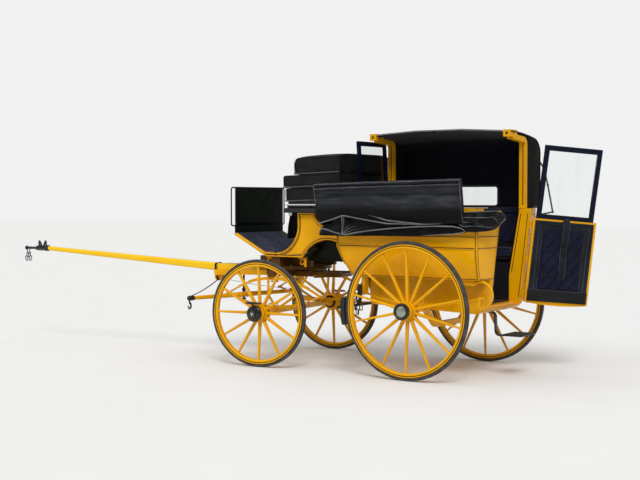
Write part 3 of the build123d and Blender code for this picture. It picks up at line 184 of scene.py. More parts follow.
class CoachSizes(bpy.types.PropertyGroup):
    """Sizes of the carriage's fine trim."""
    line: FloatProperty(name="Lining width", description="Width of a painted line",
                        subtype="DISTANCE", default=0.0066, min=0.001, max=0.01)
    bead: FloatProperty(name="Bead width", description="Width of a raised bead on the panels",
                        subtype="DISTANCE", default=0.014, min=0.004, max=0.03)
    piping: FloatProperty(name="Piping radius", description="Radius of the piping on the pads",
                          subtype="DISTANCE", default=0.0045, min=0.002, max=0.01)
    voxel: FloatProperty(name="Pad grid", description="Grid that the pads are swollen on",
                         subtype="DISTANCE", default=0.012, min=0.004, max=0.03)
    frames: IntProperty(name="Swelling steps", description="Steps of the pads' cloth", default=20,
                        min=5, max=40)


# Shader maths
class Value:
    """A socket in a finish, which sums can be written with."""

    def __init__(self, finish, socket):
        self.finish = finish
        self.socket = socket

    def apply(self, operation, *others):
        values = {index: other for index, other in enumerate((self,) + others)}
        return self.finish.node("ShaderNodeMath", {"operation": operation}, values)

    def reflected(self, operation, other):
        return self.finish.node("ShaderNodeMath", {"operation": operation}, {0: other, 1: self})

    def __add__(self, other):
        return self.apply("ADD", other)

    def __sub__(self, other):
        return self.apply("SUBTRACT", other)

    def __mul__(self, other):
        return self.apply("MULTIPLY", other)

    def __truediv__(self, other):
        return self.apply("DIVIDE", other)

    def __pow__(self, other):
        return self.apply("POWER", other)

    def __radd__(self, other):
        return self.reflected("ADD", other)

    def __rsub__(self, other):
        return self.reflected("SUBTRACT", other)

    def __rmul__(self, other):
        return self.reflected("MULTIPLY", other)

    def __abs__(self):
        return self.apply("ABSOLUTE")

    def above(self, level):
        return self.apply("GREATER_THAN", level)

    def below(self, level):
        return self.apply("LESS_THAN", level)

    def near(self, level, width):
        """1 within half a width of a level, and 0 elsewhere."""
        return abs(self - level).below(width / 2)


class Finish:
    """A material in the making, with one Principled shader."""

    def __init__(self, name, **constants):
        self.material = bpy.data.materials.new(name)
        self.material.use_nodes = True
        self.tree = self.material.node_tree
        self.shader = self.tree.nodes["Principled BSDF"]
        self.place = self.node("ShaderNodeTexCoord", output="Object")
        for socket, value in constants.items():
            self.shader.inputs[socket.replace("_", " ")].default_value = value

    def node(self, kind, settings=None, values=None, output=0):
        """A node of a kind, with its settings and the values or links of its sockets."""
        made = self.tree.nodes.new(kind)
        for name, value in (settings or {}).items():
            if name == "stops":
                ramp = made.color_ramp
                while len(ramp.elements) < len(value):
                    ramp.elements.new(0.5)
                for element, (position, level) in zip(ramp.elements, value):
                    element.position = position
                    element.color = (level, level, level, 1)
            else:
                setattr(made, name, value)
        for name, value in (values or {}).items():
            if isinstance(value, Value):
                self.tree.links.new(value.socket, made.inputs[name])
            else:
                made.inputs[name].default_value = value
        return Value(self, made.outputs[output])

    def scaled(self, scale):
        """The object's own coordinates, stretched by three numbers."""
        return self.node("ShaderNodeMapping", None, {"Vector": self.place, "Scale": scale})

    def grain(self, scale, detail=2.0, stretch=None):
        """Noise from 0 to 1 at a scale per metre."""
        where = self.scaled(stretch) if stretch else self.place
        return self.node("ShaderNodeTexNoise", None, {"Vector": where, "Scale": scale, "Detail": detail})

    def cells(self, scale, feature="DISTANCE_TO_EDGE"):
        return self.node("ShaderNodeTexVoronoi", {"feature": feature}, {"Vector": self.place, "Scale": scale})

    def ramp(self, value, low, high):
        """0 below low, 1 above high and even between them."""
        return self.node("ShaderNodeMapRange", {"clamp": True},
                         {"Value": value, "From Min": low, "From Max": high})

    def axis(self, name, vector=None):
        return self.node("ShaderNodeSeparateXYZ", None, {0: vector or self.place}, output=name)

    def blend(self, factor, first, second):
        """A colour between two, each a colour or a link."""
        made = self.tree.nodes.new("ShaderNodeMix")
        made.data_type = "RGBA"
        for index, value in ((0, factor), (6, first), (7, second)):
            if isinstance(value, Value):
                self.tree.links.new(value.socket, made.inputs[index])
            elif index:
                made.inputs[index].default_value = (*value, 1)
            else:
                made.inputs[index].default_value = value
        return Value(self, made.outputs[2])

    def vector(self, operation, first, second, output=0):
        return self.node("ShaderNodeVectorMath", {"operation": operation}, {0: first, 1: second}, output)

    def along(self, way, origin):
        """How far the shaded place lies from an origin, along a direction."""
        return self.vector("DOT_PRODUCT", self.place, tuple(way), output="Value") - origin.dot(way)

    def wear(self, **values):
        """Feed varying values to the shader."""
        for name, value in values.items():
            self.tree.links.new(value.socket, self.shader.inputs[name.replace("_", " ")])

    def bump(self, height, depth):
        made = self.node("ShaderNodeBump", None, {"Height": height, "Distance": depth, "Strength": 1.0})
        self.tree.links.new(made.socket, self.shader.inputs["Normal"])


def yellow_paint(name, marks=None):
    """Glossy coach paint; marks adds darker painted places from the finish and its colour."""
    paint = bpy.context.scene.coach_paint
    made = Finish(name, Coat_Roughness=0.06, Coat_IOR=1.5, IOR=1.45, Specular_IOR_Level=0.2,
                  Specular_Tint=(1.0, 0.74, 0.24, 1))
    patches = made.ramp(made.grain(2.2, 4), 0.35, 0.7)
    hue = made.blend(patches, tuple(paint.yellow), tuple(paint.shade))
    specks = made.ramp(made.grain(55, 6), 0.62, 0.82)
    hue = made.blend(specks * 0.22, hue, (0.42, 0.20, 0.01))
    height = made.axis("Z")
    splash = (1 - made.ramp(height, 0.12, 0.75)) * made.ramp(made.grain(16, 8), 0.45, 0.75)
    hue = made.blend(splash * 0.30, hue, (0.34, 0.18, 0.03))
    rough = made.grain(14, 5) * 0.16 + 0.18 + splash * 0.25
    coat = 0.16 - splash * 0.1
    if marks:
        mask, shade = marks(made)
        hue = made.blend(mask, hue, shade)
    made.wear(Base_Color=hue, Roughness=rough, Coat_Weight=coat)
    strokes = made.grain(90, 3, (1.0, 1.0, 0.25)) + made.grain(14, 3) * 1.4
    made.bump(strokes, 0.0004)
    return made.material


def dark_paint(name, hue, rough=0.22, dust=(0.10, 0.085, 0.06), shine=1.0):
    """Glossy dark paint over wood or iron, dusty low down and rubbed at places."""
    made = Finish(name, Coat_Roughness=0.08, Coat_Weight=0.22 * shine, Specular_IOR_Level=0.3 * shine)
    height = made.axis("Z")
    low = (1 - made.ramp(height, 0.2, 0.9)) * made.ramp(made.grain(22, 8), 0.4, 0.8)
    worn = made.ramp(made.grain(38, 8), 0.62, 0.8)
    shade = made.blend(worn * 0.3, hue, tuple(min(1, c * 2.2 + 0.006 * shine) for c in hue))
    made.wear(Base_Color=made.blend(low * 0.3, shade, dust),
              Roughness=made.grain(20, 5) * 0.2 + rough + low * 0.3)
    made.bump(made.grain(70, 4) + made.grain(9, 3), 0.0005)
    return made.material


def folded_leather(name, hue, painted_light_grey):
    """The folded head's leather: dark low down where it hangs slack, painted paler grey on its upper part as painted
    light, more so on its rubbed folds, with a painted shadow line across it.
    """
    made = Finish(name, Coat_Roughness=0.25, Specular_IOR_Level=0.12)
    folds = made.grain(11, 6, (0.5, 1.0, 2.4))
    height = made.axis("Z") + made.grain(5, 5, (0.6, 1.0, 2.0)) * 0.07
    # Painted light: paler grey above about 1.49 m, and a painted shadow band at 1.634 m.
    painted_light_band = made.ramp(height, 1.492, 1.560)
    shadow = 1 - height.near(1.634, 0.011) * 0.55
    rubbed = made.ramp(folds, 0.48, 0.72)
    shade = made.blend(painted_light_band * shadow * (0.45 + rubbed * 0.55), hue, painted_light_grey)
    made.wear(Base_Color=shade, Roughness=made.grain(24, 5) * 0.22 + 0.42 - rubbed * 0.1,
              Coat_Weight=rubbed * painted_light_band * 0.14)
    pebble = made.ramp(made.cells(420), 0.0, 0.12)
    made.bump(folds * 2.6 + pebble * 0.35 + made.grain(60, 5) * 0.6, 0.0014)
    return made.material


def leather(name, hue, gloss=0.34, crease=1.0, shine=0.3):
    """Black harness leather: fine pebble, soft creases, paler patches and rubbed folds, and a dull polish."""
    made = Finish(name, Coat_Roughness=0.16, Specular_IOR_Level=shine)
    pebble = made.cells(420)
    folds = made.grain(11, 6, (1.0, 1.0, 2.4))
    patches = made.ramp(made.grain(5, 5), 0.38, 0.72)
    rubbed = made.ramp(folds, 0.52, 0.72)
    shade = made.blend(patches, hue, tuple(c * 1.9 + 0.001 for c in hue))
    shade = made.blend(rubbed * 0.3, shade, tuple(c * 2.6 + 0.008 for c in hue))
    made.wear(Base_Color=shade, Roughness=made.grain(24, 5) * 0.22 + gloss - rubbed * 0.08,
              Coat_Weight=rubbed * (shine * 0.7) + shine * 0.1)
    made.bump(folds * (3.0 * crease) + made.ramp(pebble, 0.0, 0.12) * 0.35 + made.grain(60, 5) * 0.6, 0.0014)
    return made.material


def woven(name, hue, scale=900, ribs=(1.0, 1.0, 1.0), nap=0.5, seam_shade=None):
    """Dull wool cloth with a twill weave, lint and worn places; its last argument gives painted shade in its tufted
    seams.
    """
    made = Finish(name, Sheen_Weight=0.10, Sheen_Roughness=0.5, Specular_IOR_Level=0.15)
    spun = made.scaled(ribs)
    twill = made.node("ShaderNodeTexWave", {"wave_type": "BANDS", "bands_direction": "DIAGONAL"},
                      {"Vector": spun, "Scale": scale / 6, "Distortion": 1.2, "Detail": 2.0})
    lint = made.ramp(made.grain(260, 6), 0.62, 0.80)
    faded = made.ramp(made.grain(6, 5), 0.35, 0.75)
    shade = made.blend(faded, hue, tuple(c * 1.9 + 0.001 for c in hue))
    shade = made.blend(twill * 0.25, shade, tuple(c * 0.5 for c in hue))
    # Painted shade darkens the cloth along its sewn or buttoned seams.
    if seam_shade:
        shade = made.blend(seam_shade(made), shade, tuple(c * 0.15 for c in hue))
    shade = made.blend(lint * 0.10, shade, (0.12, 0.12, 0.16))
    made.wear(Base_Color=shade, Roughness=made.grain(40, 4) * 0.12 + 0.78)
    made.bump(twill * 0.6 + made.grain(320, 3) * nap, 0.0008)
    return made.material


def quilt_seam_shade(made):
    """Painted shade in the seams where the door quilt is sewn down."""
    dark = None
    for x_part, z_part, pitch, strength in ((0.88, -0.62, QUILT_MAIN, 0.85), (0.62, 0.72, QUILT_CROSS, 0.35)):
        along = made.along(door_across * x_part + hinge_up * z_part, door_foot)
        wave = abs((along * (pi / pitch)).apply("SINE"))
        line = (1 - made.ramp(wave, 0.0, 0.5)) * strength
        dark = line if dark is None else dark.apply("MAXIMUM", line)
    return dark


def squab_seam_shade(made):
    """Painted shade in the seams where the corner squabs are buttoned down."""
    across = abs(made.axis("Y")) * (1 / SQUAB_ACROSS) - SQUAB_NEAR / SQUAB_ACROSS
    up = made.axis("Z") * (1 / SQUAB_UP) - SQUAB_FOOT / SQUAB_UP
    waves = [abs(((across + up * turn) * (pi / 2)).apply("SINE")) for turn in (1, -1)]
    return (1 - made.ramp(waves[0] * waves[1], 0.0, 0.35)) * 0.8


def rubber_finish(name):
    """Worn solid rubber, grey with dust."""
    made = Finish(name)
    dust = made.ramp(made.grain(18, 8), 0.42, 0.75)
    low = made.ramp(made.grain(90, 6), 0.5, 0.75)
    shade = made.blend(dust * 0.7, (0.022, 0.022, 0.024), (0.085, 0.082, 0.080))
    shade = made.blend(low * 0.25, shade, (0.16, 0.14, 0.11))
    made.wear(Base_Color=shade, Roughness=made.grain(30, 5) * 0.2 + 0.55)
    made.bump(made.grain(140, 6) + made.grain(26, 4) * 1.5, 0.0009)
    return made.material


def bright_metal(name, hue=(0.72, 0.71, 0.68), rough=0.14):
    """Bare metal with dull stains."""
    made = Finish(name, Metallic=1.0)
    stain = made.ramp(made.grain(60, 8), 0.55, 0.8)
    made.wear(Base_Color=made.blend(stain * 0.6, hue, (0.25, 0.23, 0.20)),
              Roughness=made.grain(80, 5) * 0.16 + rough + stain * 0.2)
    made.bump(made.grain(220, 4), 0.0002)
    return made.material


def clear_glass(name):
    """Plate glass with faint smears."""
    made = Finish(name, Transmission_Weight=1.0, IOR=1.45)
    smear = made.ramp(made.grain(9, 6, (1.0, 1.0, 0.3)), 0.5, 0.8)
    made.wear(Base_Color=made.blend(smear, (0.94, 0.97, 0.96), (0.86, 0.90, 0.88)), Roughness=smear * 0.06)
    made.bump(made.grain(3, 2), 0.0002)
    return made.material


finishes = {}


def wheel_marks(centre, axle, radius):
    """Dark lines round the felloe, one of them a painted shadow where the felloe meets the tyre's channel, and black
    bands on the nave's ends.
    """
    def marks(made):
        away = made.vector("SUBTRACT", made.place, tuple(centre))
        along = made.vector("DOT_PRODUCT", away, tuple(axle), output="Value")
        far = made.vector("LENGTH", away, (0, 0, 0), output="Value")
        out = (far * far - along * along).apply("MAXIMUM", 0.0) ** 0.5
        # The line 27 mm inside the rim is a painted shadow under the tyre's channel; the wider line is lining.
        lines = out.near(radius - 0.042, 0.0085).apply("MAXIMUM", out.near(radius - 0.027, 0.006))
        lines = lines.apply("MAXIMUM", out.near(0.0775, 0.0035) * along.above(0.0))
        nave = along.above(NAVE_FRONT) * out.below(NAVE_RADIUS)
        nave = nave.apply("MAXIMUM", along.below(NAVE_BACK) * out.below(NAVE_RADIUS))
        return lines * 0.92 * (1 - nave) + nave, (0.022, 0.009, 0.003)
    return marks


def pole_paler(made):
    """The pole's paint is blended towards a paler, brighter yellow in patches."""
    patches = made.ramp(made.grain(4, 4), 0.25, 0.75)
    return patches * 0.25 + 0.6, (0.94, 0.60, 0.018)


def bed_marks(made):
    """The turntable and its beds are painted dark brown above the springs."""
    height = made.axis("Z")
    browned = made.ramp(height + made.grain(18, 5) * 0.03, 0.826, 0.842)
    return browned * 0.94, (0.050, 0.021, 0.008)


def bar_marks(made):
    """The swing bar's ends and hooks are black."""
    return abs(made.along(BAR_WAY, bar_at(0, 0, 0))).above(0.652), (0.007, 0.007, 0.008)


def futchell_marks(made):
    """The futchells turn dark brown where they pass below the turntable."""
    along = made.axis("X") + made.grain(12, 5) * 0.08
    return (1 - made.ramp(along, AXLE_X + 1.80, AXLE_X + 1.86)) * 0.9, (0.060, 0.026, 0.009)


def make_finishes():
    """Every finish by a short name, in the colours that the user set."""
    paint = bpy.context.scene.coach_paint
    hide = tuple(paint.leather)
    finishes.update({
        "yellow": yellow_paint("yellow_coach_paint"),
        "turntable": yellow_paint("browned_turntable", bed_marks),
        "lining": dark_paint("dark_brown_lining", tuple(paint.lining), 0.3),
        "black": dark_paint("black_iron_paint", (0.007, 0.007, 0.008)),
        "pole": yellow_paint("paler_pole_paint", pole_paler),
        "navy_paint": dark_paint("navy_sash_paint", (0.0016, 0.0036, 0.016), 0.45, shine=0.35),
        "bench_paint": dark_paint("bench_black_paint", (0.004, 0.004, 0.007), 0.45),
        # Near black for the boot's underside and the sheet under the arch: black paint that also stands in for the
        # shade inside the arch.
        "black_and_arch_shade": dark_paint("boot_underside", (0.0065, 0.0065, 0.0026), 0.5, shine=0.3),
        "leather": leather("black_head_leather", (0.0026, 0.0036, 0.0022), 0.42, 0.9, 0.14),
        "fold_leather": folded_leather("folded_head_leather", hide, (0.036, 0.039, 0.048)),
        "slack_leather": leather("slack_leather", (0.0024, 0.0026, 0.0030), 0.34, 0.8, 0.13),
        "bar": yellow_paint("swing_bar_paint", bar_marks),
        "futchell": yellow_paint("browned_futchells", futchell_marks),
        # Pale leather for tubes that are painted highlights on the folds, the top roll and the roof's crest.
        "fold_highlight": leather("pale_highlight_leather", (0.100, 0.101, 0.110), 0.35, 0.3, 0.5),
        "roll_highlight": leather("pale_roll_leather", (0.042, 0.044, 0.051), 0.36, 0.3, 0.5),
        "pad_leather": leather("black_pad_leather", hide, 0.40, 0.6, 0.16),
        "dash_leather": leather("dash_leather", (0.0016, 0.0036, 0.0018), 0.42, 0.2, 0.05),
        "mat": leather("foot_board_mat", tuple(paint.mat), 0.5, 0.2, 0.1),
        "strap": leather("strap_leather", hide, 0.38, 0.4, 0.2),
        # The welt is polished and also paler than the leather, a painted highlight.
        "welt": leather("polished_welt_with_highlight", (0.020, 0.020, 0.023), 0.26, 0.3, 0.9),
        "cloth": woven("navy_wool_cloth", tuple(paint.navy)),
        "head_cloth": woven("dark_head_lining", (0.0022, 0.0024, 0.0075)),
        "lace": woven("broad_lace", (0.0070, 0.0090, 0.0140), 500, (1.0, 1.0, 0.5), 1.2),
        "lace_cord": woven("lace_cord", (0.040, 0.046, 0.058), 700),
        "door_cloth": woven("door_quilt_cloth", (0.0038, 0.0040, 0.0185), seam_shade=quilt_seam_shade),
        "squab_cloth": woven("corner_squab_cloth", (0.0125, 0.0090, 0.0380), seam_shade=squab_seam_shade),
        "rubber": rubber_finish("tyre_rubber"),
        "bright": bright_metal("bright_plate"),
        "hub_disc": bright_metal("hub_disc", (0.36, 0.42, 0.33), 0.2),
        "chain": bright_metal("black_chain", (0.06, 0.06, 0.065), 0.35),
        "glass": clear_glass("window_glass"),
    })


# Mesh helpers
def skin(work, grid, closed=False, capped=False):
    """Faces between rows of corners; closed joins each row's ends, and capped fills the first and last row."""
    for first, second in zip(grid, grid[1:]):
        count = len(first)
        for k in range(count if closed else count - 1):
            j = (k + 1) % count
            work.faces.new((first[k], first[j], second[j], second[k]))
    if capped:
        work.faces.new(grid[0][::-1])
        work.faces.new(grid[-1])


def close_rings(work, rings, steps):
    """Faces between rings of corners, some of which are one corner on the axis."""
    for first, second in zip(rings, rings[1:]):
        for k in range(steps):
            j = (k + 1) % steps
            corners = [first[k % len(first)], first[j % len(first)], second[j % len(second)], second[k % len(second)]]
            face = [v for i, v in enumerate(corners) if v not in corners[:i]]
            if len(face) > 2:
                work.faces.new(face)


def close_sheet(work, front, back):
    """Faces over two grids of the same size and round their common edge."""
    skin(work, front)
    skin(work, back)
    rims = [([row[i] for row in front], [row[i] for row in back]) for i in (0, -1)]
    rims += [(front[k], back[k]) for k in (0, -1)]
    for rim in rims:
        skin(work, rim)


def padded_sheet(work, columns, rows, face):
    """A closed sheet over a grid; face(u, v) gives its front and its back place."""
    front, back = [], []
    for k in range(columns + 1):
        pairs = [face(k / columns, i / rows) for i in range(rows + 1)]
        corners = [[work.verts.new(place) for place in pair] for pair in pairs]
        front.append([pair[0] for pair in corners])
        back.append([pair[1] for pair in corners])
    close_sheet(work, front, back)


def buttoned(across, up, power):
    """How far a diamond-buttoned pad swells, from 0 at its seams to 1."""
    return (abs(sin(pi * (across + up) / 2)) * abs(sin(pi * (across - up) / 2))) ** power


def sweep(work, path, section, out, closed=False):
    """Carry a section of (across, outwards) pairs along a path, facing the way that out says."""
    rings = []
    last = len(path) - 1
    for index, point in enumerate(path):
        before = path[index - 1] if index or closed else None
        after = path[(index + 1) % len(path)] if index < last or closed else None
        into = (point - before).normalized() if before is not None else None
        away = (after - point).normalized() if after is not None else None
        along = ((into or away) + (away or into)).normalized()
        stretch = 1 / max(0.45, along.dot(away or into))
        facing = Vector(out(point)) if callable(out) else Vector(out)
        facing = (facing - along * facing.dot(along)).normalized()
        across = along.cross(facing) * stretch
        rings.append([work.verts.new(point + across * u + facing * v) for u, v in section])
    skin(work, rings + rings[:1] * closed, True, not closed)


def tube(work, path, radius, sides=10, closed=False):
    """A round bar along a path; radius is one number or one for each point."""
    side = (path[1] - path[0]).orthogonal().normalized()
    rings = []
    last = len(path) - 1
    for index, point in enumerate(path):
        before = path[index - 1] if index or closed else path[0]
        after = path[(index + 1) % len(path)] if index < last or closed else path[last]
        along = (after - before).normalized()
        side = (side - along * side.dot(along)).normalized()
        other = along.cross(side)
        size = radius[index] if isinstance(radius, (list, tuple)) else radius
        rings.append([work.verts.new(point + side * (size * cos(2 * pi * k / sides))
                                     + other * (size * sin(2 * pi * k / sides))) for k in range(sides)])
    skin(work, rings + rings[:1] * closed, True, not closed)


def lathe(work, profile, centre, axis, steps=40):
    """Turn a profile of (radius, height) pairs about an axis; it starts and ends on the axis or closes."""
    axis = Vector(axis).normalized()
    side = axis.orthogonal().normalized()
    other = axis.cross(side)
    rings = []
    for radius, height in profile:
        middle = centre + axis * height
        rings.append([work.verts.new(middle + side * (radius * cos(2 * pi * k / steps))
                                     + other * (radius * sin(2 * pi * k / steps)))
                      for k in range(steps if radius > 1e-6 else 1)])
    close_rings(work, rings + rings[:1] * (profile[0][0] > 1e-6), steps)


def cushion_block(work, low, high, radius, place=None, segments=3):
    """A rounded block between two corners, in a place's own directions if one is given."""
    made = bmesh.ops.create_cube(work, size=1.0)["verts"]
    size = [b - a for a, b in zip(low, high)]
    middle = [(a + b) / 2 for a, b in zip(low, high)]
    for vert in made:
        vert.co = Vector([c * s + m for c, s, m in zip(vert.co, size, middle)])
    edges = list({edge for vert in made for edge in vert.link_edges})
    shaped = bmesh.ops.bevel(work, geom=edges, offset=radius, segments=segments, profile=0.5, affect="EDGES")
    verts = {v for face in shaped["faces"] for v in face.verts}
    verts |= {v for v in made if v.is_valid}
    if place:
        for vert in verts:
            vert.co = place(*vert.co)


def prism(work, outline, low, high):
    """A closed slab: an outline of (x, z) points between two distances to the left."""
    near, far = ([work.verts.new(at(x, y, z)) for x, z in outline] for y in (low, high))
    skin(work, [near, far], True, True)


def arc(first, middle, last, steps):
    """Points on the round arc through three points in a plane."""
    (ax, az), (bx, bz), (cx, cz) = first, middle, last
    d = 2 * (ax * (bz - cz) + bx * (cz - az) + cx * (az - bz))
    a, b, c = ax * ax + az * az, bx * bx + bz * bz, cx * cx + cz * cz
    ux = (a * (bz - cz) + b * (cz - az) + c * (az - bz)) / d
    uz = (a * (cx - bx) + b * (ax - cx) + c * (bx - ax)) / d
    radius = sqrt((ax - ux) ** 2 + (az - uz) ** 2)
    angles = [atan2(z - uz, x - ux) for x, z in (first, middle, last)]
    turn = (angles[2] - angles[0]) % (2 * pi)
    if (angles[1] - angles[0]) % (2 * pi) > turn:
        turn -= 2 * pi
    return [(ux + radius * cos(angles[0] + turn * k / steps), uz + radius * sin(angles[0] + turn * k / steps))
            for k in range(steps + 1)]


def curve(points, steps=8):
    """A smooth line through points."""
    ends = [points[0] * 2 - points[1]] + list(points) + [points[-1] * 2 - points[-2]]
    line = []
    for a, b, c, d in zip(ends, ends[1:], ends[2:], ends[3:]):
        for k in range(steps):
            t = k / steps
            line.append(0.5 * (2 * b + (c - a) * t + (2 * a - 5 * b + 4 * c - d) * t * t
                               + (3 * b - a - 3 * c + d) * t ** 3))
    return line + [points[-1].copy()]


def between(rows, x):
    """Read a value at x from rows of (x, value), in even steps between them."""
    rows = sorted(rows)
    for (x0, v0), (x1, v1) in zip(rows, rows[1:]):
        if x <= x1:
            return v0 + (v1 - v0) * max(0.0, x - x0) / (x1 - x0)
    return rows[-1][1]


def mesh_of(name, work):
    """A mesh from worked geometry, which is freed."""
    mesh = bpy.data.meshes.new(name)
    work.to_mesh(mesh)
    work.free()
    return mesh


def show(name, data):
    """A new object in the scene from its data."""
    thing = bpy.data.objects.new(name, data)
    bpy.context.scene.collection.objects.link(thing)
    return thing


def piece(name, work, finish, body, replaces=(), angle=35):
    """Turn worked geometry into an object that rides on a body, if one is given."""
    bmesh.ops.recalc_face_normals(work, faces=work.faces)
    mesh = mesh_of(name, work)
    mesh.materials.append(finishes[finish])
    mesh.shade_smooth()
    mesh.set_sharp_from_angle(angle=radians(angle))
    thing = show(name, mesh)
    if body:
        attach(thing, body)
    if replaces:
        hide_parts(*replaces)
    return thing


def settle(thing, kind=None, **settings):
    """Keep what a piece's modifiers make and drop the modifiers, with one more first if its kind is given."""
    if kind:
        added = thing.modifiers.new("added", kind)
        for name, value in settings.items():
            setattr(added, name, value)
    graph = bpy.context.evaluated_depsgraph_get()
    mesh = bpy.data.meshes.new_from_object(thing.evaluated_get(graph))
    old = thing.data
    thing.modifiers.clear()
    thing.data = mesh
    mesh.name = old.name
    bpy.data.meshes.remove(old)


def swell(thing, seams, cap, reach=0.010):
    """Blow a closed pad up between its seams, which are paths that stay where they are."""
    sizes = bpy.context.scene.coach_sizes
    settle(thing, "REMESH", mode="VOXEL", voxel_size=sizes.voxel)
    home = thing.matrix_world.copy()
    start = [vert.co.copy() for vert in thing.data.vertices]
    marks = [point for path in seams for point in path]
    held = []
    for vert in thing.data.vertices:
        here = home @ vert.co
        if any((here - mark).length_squared < reach * reach for mark in marks):
            held.append(vert.index)
    group = thing.vertex_groups.new(name="seams")
    group.add(held, 1.0, "REPLACE")
    cloth = thing.modifiers.new("cloth", "CLOTH")
    cloth.settings.vertex_group_mass = "seams"
    cloth.settings.use_pressure = True
    cloth.settings.uniform_pressure_force = 4.0
    cloth.settings.effector_weights.gravity = 0.0
    cloth.settings.quality = 4
    cloth.point_cache.frame_start = 1
    cloth.point_cache.frame_end = sizes.frames
    scene = bpy.context.scene
    for number in range(1, sizes.frames + 1):
        scene.frame_set(number)
    settle(thing)
    for vert, old in zip(thing.data.vertices, start):
        move = vert.co - old
        if move.length > cap:
            vert.co = old + move * (cap / move.length)
    scene.frame_set(1)
    thing.vertex_groups.clear()
    settle(thing, "SUBSURF", levels=1)
    thing.data.shade_smooth()


def dense(points, gap=0.008):
    """The same line with points no further apart than a gap."""
    line = []
    for first, second in zip(points, points[1:]):
        count = max(1, int((second - first).length / gap))
        line += [first.lerp(second, k / count) for k in range(count)]
    return line + [points[-1]]


def dense_flat(points, gap):
    """The same (x, z) line with points no further apart than a gap."""
    return [(p.x, p.y) for p in dense([Vector(p) for p in points], gap)]


bead_section = [(-0.5, 0), (-0.45, 0.35), (-0.25, 0.62), (0, 0.7), (0.25, 0.62), (0.45, 0.35), (0.5, 0)]
flat_section = [(-0.5, -0.4), (-0.5, 0.1), (0.5, 0.1), (0.5, -0.4)]


def sized(section, width, height=None):
    """A section at its real width and height."""
    return [(u * width, v * (height or width)) for u, v in section]


# Pieces
def paint_frame():
    """Give each node of the frame that stays its own paint, leather or glass."""
    for finish, names in (
        ("yellow", "rear_axle front_axle front_springs rear_springs body_sides rear_quarters bulkhead belt_rails "
                   "foot_well boot_sides head_bows door_panel body_mouldings spring_hangers hinge_lugs"),
        ("pole", "pole"),
        ("bar", "swing_bar"),
        ("futchell", "futchells"),
        ("turntable", "front_bed upper_ring"),
        ("black", "pole_irons rear_step head_stay seat_board brake"),
        ("black_and_arch_shade", "boot_box"),
        ("bench_paint", "benches"),
        ("navy_paint", "door_sash front_sash"),
        ("glass", "door_glass head_glass"),
        ("rubber", "tyre_front_left tyre_front_right tyre_rear_left tyre_rear_right"),
    ):
        for name in names.split():
            cover(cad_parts.get(name), finishes[finish])
    for name, radius, centre, axle, _ in WHEELS:
        marks = wheel_marks(centre, axle, radius)
        cover(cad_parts["wheel_" + name], yellow_paint("lined_wheel_" + name, marks))


def cover(thing, material):
    """Put one material on all of a node's slots."""
    if thing is None:
        return
    if not thing.data.materials:
        thing.data.materials.append(material)
    for index in range(len(thing.data.materials)):
        thing.data.materials[index] = material


def body_half(z):
    """Half the body's outer width at a height, with its turn-under."""
    if z >= WAIST:
        return BODY_HALF
    down = (WAIST - z) / (WAIST - BODY_FOOT)
    return BODY_HALF - (BODY_HALF - BODY_FOOT_HALF) * down ** 2


def body_front(z):
    """The body's front edge at a height."""
    rows = arc((-0.153, BODY_FOOT), (-0.072, 1.000), (-0.004, WAIST), 16)
    if z >= WAIST:
        return BODY_FRONT - 0.004
    return BODY_FRONT + between([(height, dx) for dx, height in rows], z)


def side_out(side):
    """Which way the body's side faces at a point."""
    def facing(point):
        z = point.z
        slope = (body_half(z + 0.004) - body_half(z - 0.004)) / 0.008
        return Vector((0, side, -slope)).normalized()
    return facing


def body_trim():
    """Raised beads and painted lines on the side and rear panels."""
    sizes = bpy.context.scene.coach_sizes
    proud = 0.0052
    heights = spread(BODY_FOOT + 0.006, BELT - 0.004, 40)
    lines, beads = bmesh.new(), bmesh.new()
    section = sized(flat_section, sizes.line, 0.006)
    lip = sized(bead_section, 0.0052, 0.0045)
    for side in SIDES:
        out = side_out(side)

        def upright(edge, shift):
            return [at(edge(z) + shift, side * (body_half(z) + proud), z) for z in heights]

        def level(z, last):
            return [at(x, side * (body_half(z) + proud), z) for x in spread(-0.572, last, 24)]

        edges = (lambda z: body_front(z) - 0.0075, lambda z: -0.572)
        for edge in edges:
            sweep(lines, upright(edge, 0), section, out)
        for z in PANEL_LINES:
            sweep(lines, level(z, body_front(z) - 0.008), section, out)
        # A light lip runs on each edge of a moulding.
        for shift in (-0.0066, 0.0066):
            for edge in edges:
                sweep(beads, upright(edge, shift), lip, out)
            for z in PANEL_LINES:
                sweep(beads, level(z + shift, body_front(z) - 0.008), lip, out)
        # Rear quarter panels: beads round each panel, from the corner to the doorway.
        facing = Vector((DOORWAY_HALF - BODY_HALF, side * (BODY_CORNER - rear_face(1.2)), 0)).normalized()

        def quarter(z, share):
            inner = Vector((rear_face(z), DOORWAY_HALF))
            flat = Vector((BODY_CORNER, body_half(z))).lerp(inner, share)
            return at(flat.x, side * flat.y, z) + facing * 0.0008

        strips = [[quarter(z, share) for share in spread(0.02, 0.97, 12)] for z in sorted(PANEL_LINES)]
        strips += [[quarter(z, share) for z in heights] for share in (0.035, 0.955)]
        for path in strips:
            sweep(beads, path, sized(bead_section, 0.015, 0.007), facing)
            sweep(lines, [p + facing * 0.0052 for p in path], sized(flat_section, 0.0056, 0.004), facing)
    piece("panel_lips", beads, "yellow", "coach")
    piece("panel_lines", lines, "lining", "coach")


def heel_line(steps):
    """The foot board's line from the heel's top to the toe, as (x, z) points."""
    return [(HEEL_TOP, 1.430)] + arc(*HEEL, steps) + [(1.772, 1.045)]


def boot_arch():
    """The arch that the front wheel turns under, as (x, z) points."""
    return arc((1.335, 1.008), (1.134, 1.168), (0.820, 1.080), 26)


